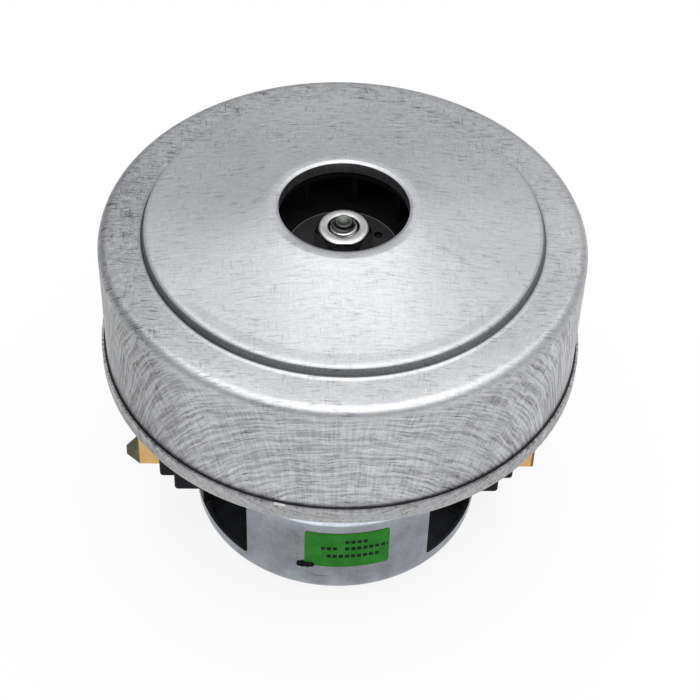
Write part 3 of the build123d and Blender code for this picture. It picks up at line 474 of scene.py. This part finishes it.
def wound_copper():
    """Enamelled copper wire laid side by side, seen as fine parallel strands with painted shade between
    them.
    """
    s = Shade("copper", metallic=1.0)
    radius = s.radius()
    wander = s.noise(s.join(s.around(4.0), radius, s.z), 0.25) * 1.4
    strand = s.formula("FRACT", (radius + s.z * 0.9 + wander) * 1.7)
    rounded = s.formula("SINE", strand * math.pi)
    grain = s.noise(s.place, 0.9, 3.0, 0.6)
    wire_color = s.tinted((0.50, 0.20, 0.085), 0.6 + grain * 0.6)
    # painted shade between the strands
    color = s.mix(rounded.band(0.0, 0.8), s.tinted(wire_color, 0.3), wire_color)
    return s.finish(color, 0.26 + grain * 0.14, rounded, distance=0.25, strength=0.9)


def sheet_brass():
    """Brass tube, warm and slightly dull. The left tongue is darker and greenish grey, and the right end is
    reddish.
    """
    s = Shade("brass", metallic=1.0)
    grain = s.noise(s.place, 1.6, 3.0, 0.6)
    cloud = s.noise(s.place, 0.22)
    brushed = s.noise(s.join(s.x * 0.3, s.y * 4.0, s.z * 4.0))
    color = s.tinted((0.67, 0.42, 0.165), 0.86 + cloud * 0.28 + brushed.centred(0.25))
    dark_tongue = s.x.band(0.5 - TUBE_END, -0.1 - TUBE_END) * cloud.band(0.2, 0.5, 0.75, 1.0)
    color = s.mix(dark_tongue, color, (0.085, 0.09, 0.062))
    color = s.mix(s.x.band(TUBE_END - 0.9, TUBE_END - 0.5) * 0.8, color, (0.10, 0.035, 0.03))
    return s.finish(color, 0.28 + grain * 0.16, brushed, distance=0.01, strength=0.5)


def moulded(name, color, roughness, fibre=0.5, speckle=0.0, has_hub=False, **fixed):
    """Moulded resin with a fine eroded surface. The impeller's hub face has painted light, with a painted
    highlight on its edge.
    """
    s = Shade(name, **fixed)
    fine = s.noise(s.place, 3.5, 3.0, 0.65)
    broad = s.noise(s.place, 0.18)
    tone = 0.75 + broad * 0.5 + fine.centred(fibre)
    made = s.tinted(color, tone)
    if speckle:
        made = s.mix(s.noise(s.place, 5.0).band(0.70, 0.80) * speckle, made, (0.30, 0.30, 0.30))
    if has_hub:
        radius = s.radius()
        # painted light on the hub face
        face = radius.band(HUB_RADIUS + 0.1, HUB_RADIUS - 0.1)
        face = face * s.z.band(HUB_TOP_Z - 0.20, HUB_TOP_Z - 0.05)
        made = s.mix(face, made, s.tinted((0.026, 0.026, 0.028), tone))
        # painted highlight on the hub face's edge
        painted_lighting = radius.between(HUB_RADIUS - 0.35, HUB_RADIUS + 0.15, 0.06)
        painted_lighting = painted_lighting * s.z.band(HUB_TOP_Z - 0.8, HUB_TOP_Z - 0.4) * fine.band(0.3, 0.6, 0.45, 0.9)
        made = s.mix(painted_lighting, made, (0.13, 0.13, 0.135))
    rough = (roughness - 0.06) + broad * 0.12
    return s.finish(made, rough, fine + broad, distance=0.03, strength=0.35)


def carbon():
    """Pressed carbon, its grains dark and paler, with fine wear along its travel."""
    s = Shade("carbon")
    fine = s.noise(s.place, 4.0, 4.0, 0.7)
    wear = s.noise(s.join(s.x * 0.4, s.y * 3.0, s.z * 3.0))
    color = s.mix(fine.band(0.35, 0.75), (0.022, 0.022, 0.024), (0.085, 0.085, 0.09))
    return s.finish(color, 0.45 + wear * 0.15, fine, distance=0.03, strength=0.5)


def sticker():
    """Green paper label with rows of plain printed dashes that stand for no lettering."""
    s = Shade("green_label", Specular_IOR_Level=0.08)
    around = s.around(CAN_RADIUS)
    paper = s.noise(s.place, 2.4, 3.0, 0.6)
    cloud = s.noise(s.place, 0.25)
    green = s.mix(cloud.band(0.35, 0.65), (0.019, 0.180, 0.016), (0.029, 0.225, 0.023))
    green = s.tinted(green, 0.93 + paper * 0.14)

    # each row is cut into cells with a dash in it, and now and then a cell is empty
    steps = s.formula("DIVIDE", around, DASH_PITCH)
    cell = s.formula("FRACT", steps)
    cell_number = s.formula("FLOOR", steps)
    row_seed = 31.7
    printed = None
    for number, (row_z, start, end) in enumerate(LABEL_ROWS):
        dice = s.node("ShaderNodeTexWhiteNoise", noise_dimensions="1D")
        s.put(dice.inputs["W"], cell_number + row_seed * (number + 1))
        mark = cell.between(0.14, 0.86, 0.05) * Term(s, dice.outputs["Value"]).band(0.10, 0.12)
        mark = mark * s.z.between(row_z - DASH_HALF_HEIGHT, row_z + DASH_HALF_HEIGHT, 0.10)
        mark = mark * around.between(start, end, 0.1)
        printed = mark if printed is None else s.formula("MAXIMUM", printed, mark)
    ink = printed * s.noise(s.place, 3.0).band(0.30, 0.50, 0.80, 1.0)
    color = s.mix(ink, green, (0.001, 0.010, 0.002))
    return s.finish(color, 0.50 + paper * 0.12, paper, distance=0.01, strength=0.4)


def marker_ink():
    """Black marker, a little shiny where it lies thick."""
    s = Shade("marker_ink", Specular_IOR_Level=0.02)
    fine = s.noise(s.place, 3.0, 3.0, 0.6)
    color = s.mix(fine.band(0.35, 0.7), (0.004, 0.004, 0.005), (0.010, 0.010, 0.014))
    return s.finish(color, 0.30 + fine * 0.2, fine, distance=0.02, strength=0.4)


BLACK_RESIN = (0.0068, 0.0072, 0.0098)
WHEEL_RESIN = (0.0055, 0.0055, 0.0065)
PLATED = (0.60, 0.60, 0.595)
MATERIALS = {
    "galvanised_steel": bracket_sheet(),
    "can_steel": can_sheet(),
    "plated_steel": bright_metal("plated_steel", PLATED, 0.26, mottle=0.16),
    "bearing_steel": bright_metal("bearing_steel", (0.60, 0.60, 0.61), 0.20, mottle=0.10, turned=0.15),
    "lamination_steel": laminated(),
    "copper": wound_copper(),
    "brass": sheet_brass(),
    "spring_steel": bright_metal("spring_steel", (0.45, 0.44, 0.43), 0.30),
    "carbon": carbon(),
    "black_plastic": moulded("black_plastic", BLACK_RESIN, 0.50, speckle=0.02, Specular_IOR_Level=0.12),
    "wheel_plastic": moulded(
        "wheel_plastic", WHEEL_RESIN, 0.45, speckle=0.02, has_hub=True, Specular_IOR_Level=0.15
    ),
    "insulation": moulded("insulation", (0.55, 0.52, 0.44), 0.50, fibre=0.3),
    "rubber": moulded("rubber", (0.012, 0.012, 0.012), 0.62, Specular_IOR_Level=0.25),
    "green_label": sticker(),
}

for part in frame["record"]["subparts"]:
    node = frame["nodes"][part["node"]]
    chosen = MATERIALS[part["material_slot"]]
    if not node.material_slots:
        node.data.materials.append(chosen)
    for slot in node.material_slots:
        slot.material = chosen
oxide_steel = bright_metal("oxide_steel", (0.055, 0.055, 0.06), 0.35, mottle=0.2)
frame["nodes"]["impeller_washer"].material_slots[0].material = oxide_steel


# Meshes
def make_object(name, vertices, faces, material, sharp=40):
    """A smooth object from points in millimetres. Edges that turn by more than sharp degrees stay sharp."""
    mesh = bpy.data.meshes.new(name)
    mesh.from_pydata([(x * MM, y * MM, z * MM) for x, y, z in vertices], [], faces)
    mesh.validate()
    mesh.update()
    for polygon in mesh.polygons:
        polygon.use_smooth = True
    mesh.set_sharp_from_angle(angle=math.radians(sharp))
    mesh.materials.append(material)
    made = bpy.data.objects.new(name, mesh)
    bpy.context.scene.collection.objects.link(made)
    return made


def ring_points(rings):
    """The points of rings round Z. A ring holds the radius and height of each point, from X on."""
    vertices = []
    for ring in rings:
        for number, (radius, height) in enumerate(ring):
            angle = WHOLE_TURN * number / len(ring)
            vertices.append((radius * math.cos(angle), radius * math.sin(angle), height))
    return vertices


def ring_faces(rings, size, loop=False):
    """The faces between rings of points, all of one size. In a loop the last ring joins the first."""
    faces = []
    for number in range(rings if loop else rings - 1):
        here = number * size
        there = (number + 1) % rings * size
        for index in range(size):
            following = (index + 1) % size
            faces.append((here + index, here + following, there + following, there + index))
    return faces


def rounded_path(corners, step):
    """A path of (radius, z) points through corners given as (radius, z, bend).

    Each corner but the first and the last becomes an arc of its bend's radius, in steps of so many degrees.
    """
    points = [Vector(corner[:2]) for corner in corners]
    path = [tuple(points[0])]
    for before, corner, after, (_, _, bend) in zip(points, points[1:], points[2:], corners[1:]):
        a = (before - corner).normalized()
        b = (after - corner).normalized()
        half = a.angle(b) / 2
        reach = bend / math.tan(half)
        middle = corner + (a + b).normalized() * (bend / math.sin(half))
        start = corner + a * reach - middle
        end = corner + b * reach - middle
        turn = start.angle_signed(end)
        count = max(2, int(abs(math.degrees(turn)) / step))
        for number in range(count + 1):
            arm = start.copy()
            arm.rotate(Matrix.Rotation(-turn * number / count, 2))
            path.append(tuple(middle + arm))
    path.append(tuple(points[-1]))
    return path


def offset_path(path, distance):
    """The path moved to its left by a distance."""
    moved = []
    for number, point in enumerate(path):
        here = Vector(point)
        before = Vector(path[max(number - 1, 0)])
        after = Vector(path[min(number + 1, len(path) - 1)])
        first = (here - before).normalized() if number else (after - here).normalized()
        second = (after - here).normalized() if number < len(path) - 1 else first
        first_normal = Vector((-first.y, first.x))
        normal = (first_normal + Vector((-second.y, second.x))).normalized()
        stretch = 1 / max(0.5, normal.dot(first_normal))
        moved.append(tuple(here + normal * distance * stretch))
    return moved


def divided(path, longest):
    """The path with its long straight runs cut into shorter ones."""
    made = [path[0]]
    for first, second in zip(path, path[1:]):
        count = max(1, math.ceil(math.dist(first, second) / longest))
        for number in range(1, count + 1):
            share = number / count
            radius = first[0] + (second[0] - first[0]) * share
            z = first[1] + (second[1] - first[1]) * share
            made.append((radius, z))
    return made


# Fan cover
def cover_ripple(radius, z, angle):
    """A pressed sheet isn't quite true: the top and the wall wander by a few hundredths."""
    # each wave: its height, how often it goes round, and where it starts
    waves = ((0.5, 3, 0.7), (0.3, 5, 2.1), (0.2, 11, 4.0))
    wave = sum(height * math.sin(count * angle + start) for height, count, start in waves)
    wall_wander, top_wander = 0.03, 0.02
    wall_from_radius, wall_top_z, full_depth = 60, 106, 30
    if radius > wall_from_radius and z < wall_top_z:
        depth = min(1.0, (wall_top_z - z) / full_depth)
        return radius - wall_wander - wall_wander * wave * depth, z
    if z > LAND_Z - 0.8:
        return radius, z - top_wander - top_wander * wave
    return radius, z


def cover_shell():
    """The cover's sheet, turned round Z. Its dome is a shallow cone, a little steeper towards the inlet."""
    segments = 288
    dome_parts = 8
    dome_slope, dome_swell, dome_bend = 0.14, 0.05, 12.0
    dome_run = DOME_RADIUS - LIP_RADIUS
    corners = [
        (COVER_RADIUS, COVER_FOOT_Z, 0.0),
        (COVER_RADIUS, LAND_Z, 3.0),
        (STEP_RADIUS, LAND_Z, 1.7),
        (STEP_RADIUS - 0.5, SHOULDER_Z, 1.7),
    ]
    for part in range(dome_parts):
        run = dome_run * part / dome_parts
        rise = dome_slope * run + dome_swell * run * run / dome_run
        corners.append((DOME_RADIUS - run, DOME_FOOT_Z + rise, dome_bend))
    corners += [
        (LIP_RADIUS, LIP_Z, 5.0),
        (INLET_RADIUS + 0.9, LIP_Z + 0.03, 0.9),
        (INLET_RADIUS, LIP_Z - 0.45, 0.15),
        (INLET_RADIUS, INLET_FOOT_Z, 0.0),
    ]
    outer_skin = divided(rounded_path(corners, step=7.0), longest=3.0)
    section = outer_skin + offset_path(outer_skin, SHEET)[::-1]
    vertices = []
    for number in range(segments):
        angle = WHOLE_TURN * number / segments
        for point in section:
            radius, z = cover_ripple(*point, angle)
            vertices.append((radius * math.sin(angle), -radius * math.cos(angle), z))
    faces = ring_faces(segments, len(section), loop=True)
    return make_object("cover_shell", vertices, faces, cover_sheet())


cover = cover_shell()
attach(cover, "housing")
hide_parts("fan_cover")


# Shaft
def threaded_shaft():
    """The shaft: the solid's own steps, a thread on its top end and a shallow centre in its tip."""
    segments = 96
    foot_z, journal, chamfer = 2.5, 3.95, 0.4
    body, body_start_z, body_end_z, edge = 5.0, 9.0, 66.9, 0.1
    steps = [
        (0.0, foot_z), (journal - chamfer, foot_z), (journal, foot_z + chamfer),
        (journal, body_start_z - edge), (journal + edge / 2, body_start_z),
        (body - edge, body_start_z), (body, body_start_z + edge),
        (body, body_end_z - edge), (body - edge, body_end_z),
        (journal, body_end_z), (journal, THREAD_FOOT_Z), (journal - THREAD_DEPTH, THREAD_FOOT_Z + 0.2),
    ]
    rings = [[(radius, height)] * segments for radius, height in steps]

    pitch, row_height, thread_rows = 1.0, 0.06, 47
    taper_z, taper = THREAD_FOOT_Z + 2.3, 0.9
    for row in range(thread_rows):
        height = THREAD_FOOT_Z + 0.3 + row * row_height
        crest = THREAD_RADIUS - max(0.0, height - taper_z) * taper
        ring = []
        for number in range(segments):
            phase = (height / pitch - number / segments) % 1.0
            tooth = min(1.0, (1 - abs(phase * 2 - 1)) * 1.4)
            ring.append((crest - THREAD_DEPTH * (1 - tooth), height))
        rings.append(ring)

    # tip: the radius, and how far below the top
    tip = (
        (2.75, 0.85), (2.6, 0.5), (2.42, 0.15), (2.2, 0.0),
        (1.75, 0.05), (1.35, 0.4), (0.6, 0.65), (0.0, 0.7),
    )
    rings += [[(radius, SHAFT_TIP_Z - drop)] * segments for radius, drop in tip]
    vertices = ring_points(rings)
    faces = ring_faces(len(rings), segments)
    return make_object("threaded_shaft", vertices, faces, shaft_steel(), sharp=35)


shaft = threaded_shaft()
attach(shaft, "rotor")
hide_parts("shaft")


# Hexagon nut
def nut_body():
    """A hexagon nut with a turned chamfer, its edges softened by plating. Two corners lie on X."""
    segments = 240
    half_flats, half_corners, soft = 7.0, 8.02, 0.12
    sixth = math.pi / 3

    def hexagon(angle, cone):
        """The nut's reach at an angle: the smaller of the hexagon's and the cone's, blended."""
        reach = min(half_flats / math.cos(angle % sixth - sixth / 2), half_corners)
        gap = (cone - reach) / soft
        if abs(gap) > 6:
            return min(reach, cone)
        return cone - soft * math.log1p(math.exp(gap))

    heights = [NUT_FOOT_Z + rise for rise in (0.0, 0.1, 0.25, 0.7, 2.0, 3.5)]
    heights += [NUT_TOP_Z - 3.1 + 0.1 * number for number in range(8)]
    heights += [NUT_TOP_Z - 2.2 + 0.1 * number for number in range(21)]
    angles = [WHOLE_TURN * number / segments for number in range(segments)]
    rings = []
    for height in heights:
        drop = NUT_TOP_Z - height
        chamfer = min(6.45 + drop * 1.4, 7.01 + (drop - 0.4) * 0.5)
        cone = min(chamfer, 7.35 + (height - NUT_FOOT_Z) * 1.3)
        rings.append([(hexagon(angle, cone), height) for angle in angles])

    # top face and bore: the radius, and how far below the top
    face = ((6.46, 0.03), (6.36, 0.0), (5.6, 0.0), (4.55, 0.0), (4.42, 0.04), (4.30, 0.16), (NUT_BORE, 0.55))
    rings += [[(radius, NUT_TOP_Z - drop)] * segments for radius, drop in face]
    rings.append([(NUT_BORE, NUT_FOOT_Z)] * segments)
    vertices = ring_points(rings)
    nut_steel = bright_metal("nut_steel", PLATED, 0.26, mottle=0.16, is_nut=True)
    faces = ring_faces(len(rings), segments, loop=True)
    return make_object("nut_body", vertices, faces, nut_steel, sharp=35)


nut = nut_body()
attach(nut, "rotor")
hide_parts("impeller_nut")


# Label and ink dab
def wrapped_patch(name, radius, thickness, outline, cells, material):
    """A thin sheet on the can's wall, thinner at its edge.

    outline turns a point's shares of the way across and up into an angle in degrees and a height.
    """
    columns, rows = cells
    edge_share = 0.45
    vertices = []
    for lift in (0.0, thickness):
        for row in range(rows + 1):
            for column in range(columns + 1):
                degrees, z = outline(column / columns, row / rows)
                angle = math.radians(degrees)
                on_edge = column in (0, columns) or row in (0, rows)
                reach = radius + lift * (edge_share if on_edge else 1.0)
                vertices.append((reach * math.sin(angle), -reach * math.cos(angle), z))
    width = columns + 1
    layer = (rows + 1) * width
    faces = []
    for row in range(rows):
        for column in range(columns):
            a = row * width + column
            b = a + 1
            c = b + width
            d = a + width
            faces.append((layer + a, layer + b, layer + c, layer + d))
            faces.append((d, c, b, a))
    rim = list(range(columns))
    rim += [row * width + columns for row in range(rows)]
    rim += [rows * width + column for column in range(columns, 0, -1)]
    rim += [row * width for row in range(rows, 0, -1)]
    for first, second in zip(rim, rim[1:] + rim[:1]):
        faces.append((first, second, layer + second, layer + first))
    return make_object(name, vertices, faces, material, sharp=50)


def label_outline(across, up):
    """A rectangle with rounded corners."""
    width = math.radians(LABEL_END - LABEL_START) * CAN_RADIUS
    x = across * width
    near = min(x, width - x)
    inset = 0.0
    if near < LABEL_CORNER:
        inset = LABEL_CORNER - math.sqrt(max(0.0, LABEL_CORNER**2 - (LABEL_CORNER - near) ** 2))
    z = LABEL_LOW_Z + inset + up * (LABEL_HIGH_Z - LABEL_LOW_Z - 2 * inset)
    return LABEL_START + math.degrees(x / CAN_RADIUS), z


def ink_outline(across, up):
    """A slanted dab of marker with a ragged outline, over the label's lower left corner."""
    start, span = -16.3, 7.3
    middle_z, lean, half_height, rag, waves = 16.4, 0.9, 1.25, 0.12, 23
    half = half_height * math.sqrt(max(0.0, 1 - (2 * across - 1) ** 4)) + rag * math.sin(waves * across)
    return start + span * across, middle_z + lean * across + half * (2 * up - 1)


label_radius = CAN_RADIUS + LABEL_LIFT
label = wrapped_patch(
    "label_sheet", label_radius, LABEL_THICKNESS, label_outline, (120, 24), MATERIALS["green_label"]
)
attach(label, "housing")
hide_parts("label")

ink_lift, ink_thickness = 0.02, 0.03
ink_radius = label_radius + LABEL_THICKNESS + ink_lift
ink = wrapped_patch("ink_dab", ink_radius, ink_thickness, ink_outline, (48, 8), marker_ink())
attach(ink, "housing")


# Brush springs and leads
def wire(path, radius, sides):
    """The points and faces of a round wire along a path, with closed ends."""
    points = [Vector(point) for point in path]
    vertices = []
    across = Vector((0, 1, 0))
    for number, point in enumerate(points):
        ahead = (points[min(number + 1, len(points) - 1)] - points[max(number - 1, 0)]).normalized()
        across = (across - ahead * across.dot(ahead)).normalized()
        beside = ahead.cross(across)
        for corner in range(sides):
            turn = WHOLE_TURN * corner / sides
            vertices.append(tuple(point + (across * math.cos(turn) + beside * math.sin(turn)) * radius))
    faces = ring_faces(len(points), sides)
    faces.append(tuple(range(sides))[::-1])
    faces.append(tuple(range(len(vertices) - sides, len(vertices))))
    return vertices, faces


def measured(node):
    """A node's nearest and furthest distance from Z along X, its middle height, and half its height."""
    low, high = (Vector(corner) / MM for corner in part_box(node))
    near, far = sorted((abs(low.x), abs(high.x)))
    return near, far, (low.z + high.z) / 2, (high.z - low.z) / 2


def coil_spring(side_name, side):
    """The coil behind a brush, its end turns closed."""
    near, seat, height, half_height = measured("brush_spring_" + side_name)
    wire_radius = 0.35
    coil_radius = half_height - wire_radius
    turns, closed_turns = 8.5, 0.75
    steps = int(turns * 40)
    path = []
    for number in range(steps + 1):
        turn = turns * number / steps
        open_share = min(1.0, max(0.0, (turn - closed_turns) / (turns - 2 * closed_turns)))
        along = near + wire_radius + (seat - near - 2 * wire_radius) * open_share
        angle = WHOLE_TURN * turn
        path.append((side * along, coil_radius * math.cos(angle), height + coil_radius * math.sin(angle)))
    vertices, faces = wire(path, wire_radius, 10)
    return make_object("coil_spring_" + side_name, vertices, faces, MATERIALS["spring_steel"], sharp=60)


def twisted_lead(side_name, side):
    """The flexible lead inside the spring: six strands twisted round a seventh."""
    start, end, _, half_height = measured("brush_lead_" + side_name)
    height = measured("brush_spring_" + side_name)[2]
    strand_radius = half_height / 3
    steps, steps_in_turn, outer_strands = 40, 12, 6
    vertices = []
    faces = []
    for number in range(outer_strands + 1):
        offset = 0 if number == outer_strands else 2 * strand_radius
        path = []
        for step in range(steps + 1):
            along = start + (end - start) * step / steps
            angle = WHOLE_TURN * (step / steps_in_turn + number / outer_strands)
            path.append((side * along, offset * math.cos(angle), height + offset * math.sin(angle)))
        strand_points, strand_faces = wire(path, strand_radius * 0.97, 8)
        faces += [tuple(len(vertices) + index for index in face) for face in strand_faces]
        vertices += strand_points
    return make_object("twisted_lead_" + side_name, vertices, faces, MATERIALS["copper"], sharp=60)


for side_name, side in (("left", -1), ("right", 1)):
    for made, node_start, slot in (
        (coil_spring(side_name, side), "brush_spring_", "spring_steel"),
        (twisted_lead(side_name, side), "brush_lead_", "copper"),
    ):
        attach(made, "housing")
        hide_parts(node_start + side_name)
        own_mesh(made)


# Floor: white to the camera and in reflections, and a plain pale surface that takes shadows otherwise
def floor_material():
    glow_share = 0.86
    material = bpy.data.materials.new("floor")
    nodes = Nodes(material)
    diffuse = nodes.node("ShaderNodeBsdfDiffuse")
    diffuse.inputs["Color"].default_value = (0.86, 0.86, 0.86, 1)
    glow = nodes.node("ShaderNodeEmission")
    glow.inputs["Strength"].default_value = 1.0
    path = nodes.node("ShaderNodeLightPath")
    seen = nodes.formula("MAXIMUM", path.outputs["Is Camera Ray"], path.outputs["Is Glossy Ray"])
    seen = nodes.formula("MAXIMUM", seen, path.outputs["Is Transmission Ray"])
    both = nodes.node("ShaderNodeMixShader")
    for socket, value in zip(both.inputs, (seen * glow_share, diffuse.outputs[0], glow.outputs[0])):
        nodes.put(socket, value)
    nodes.put(nodes.node("ShaderNodeOutputMaterial").inputs["Surface"], both.outputs[0])
    return material


FLOOR_HALF = 12000
FLOOR_Z = -0.02
floor_corners = [(x * FLOOR_HALF, y * FLOOR_HALF, FLOOR_Z) for x, y in ((-1, -1), (1, -1), (1, 1), (-1, 1))]
floor = make_object("floor", floor_corners, [(0, 1, 2, 3)], floor_material())


# Room and lamps
def light_room():
    """Brighter to the right, and darker low in front, which shades the walls that face the camera."""
    world = bpy.data.worlds.new("studio")
    bpy.context.scene.world = world
    nodes = Nodes(world)
    room = nodes.node("ShaderNodeBackground")
    room.inputs["Color"].default_value = (0.955, 0.975, 1.0, 1)
    x, y, z = nodes.split(nodes.node("ShaderNodeTexCoord").outputs["Generated"])
    strength = x.ramp(-0.8, 0.8, 0.58, 0.78) * (z * 1.2 + y).ramp(-0.9, -0.1, 0.50, 1.0)
    nodes.put(room.inputs["Strength"], strength)
    nodes.put(nodes.node("ShaderNodeOutputWorld").inputs["Surface"], room.outputs[0])


def softbox(name, place, width, height, watts, color):
    """A rectangular lamp that looks almost straight down. Its place and size are in metres."""
    data = bpy.data.lights.new(name, "AREA")
    data.shape = "RECTANGLE"
    data.size = width
    data.size_y = height
    data.energy = watts
    data.color = color
    lamp = bpy.data.objects.new(name, data)
    bpy.context.scene.collection.objects.link(lamp)
    lamp.location = place
    target_z, lean = 0.1, -0.001
    looking = Vector((place[0], place[1] + lean, target_z)) - Vector(place)
    lamp.rotation_euler = looking.to_track_quat("-Z", "Y").to_euler()


light_room()
softbox("broad", (0.08, -0.06, 1.22), 1.8, 2.08, 12.6, (1.0, 0.99, 0.985))
softbox("overhead", (0.04, -0.42, 1.18), 1.2, 1.35, 3.9, (1.0, 0.995, 0.99))


# Camera, found from the photograph's ellipses: angles in degrees, distances in millimetres
CAMERA_TURN, CAMERA_HEIGHT, CAMERA_ROLL = -2.15, 46.061, 2.105
CAMERA_DISTANCE, CAMERA_RIGHT, CAMERA_UP = 520.04, 1.742, -32.27
FOCAL_PIXELS = 1922.396
PICTURE_PIXELS = 700
SENSOR_WIDTH = 36.0


def add_camera():
    azimuth, elevation, roll = (math.radians(value) for value in (CAMERA_TURN, CAMERA_HEIGHT, CAMERA_ROLL))
    level = math.cos(elevation)
    back = Vector((math.sin(azimuth) * level, -math.cos(azimuth) * level, math.sin(elevation)))
    right = Vector((math.cos(azimuth), math.sin(azimuth), 0))
    up = back.cross(right)
    right_rolled = math.cos(roll) * right + math.sin(roll) * up
    up_rolled = -math.sin(roll) * right + math.cos(roll) * up
    place = Vector((0, 0, LAND_Z)) + back * CAMERA_DISTANCE
    place = place + right_rolled * CAMERA_RIGHT + up_rolled * CAMERA_UP
    data = bpy.data.cameras.new("camera")
    data.sensor_width = SENSOR_WIDTH
    data.lens = FOCAL_PIXELS / PICTURE_PIXELS * SENSOR_WIDTH
    data.clip_start = 0.01
    camera = bpy.data.objects.new("camera", data)
    bpy.context.scene.collection.objects.link(camera)
    turned = Matrix((right_rolled, up_rolled, back)).transposed().to_4x4()
    camera.matrix_world = Matrix.Translation(place * MM) @ turned
    bpy.context.scene.camera = camera


add_camera()
bpy.context.scene.view_settings.view_transform = "Standard"
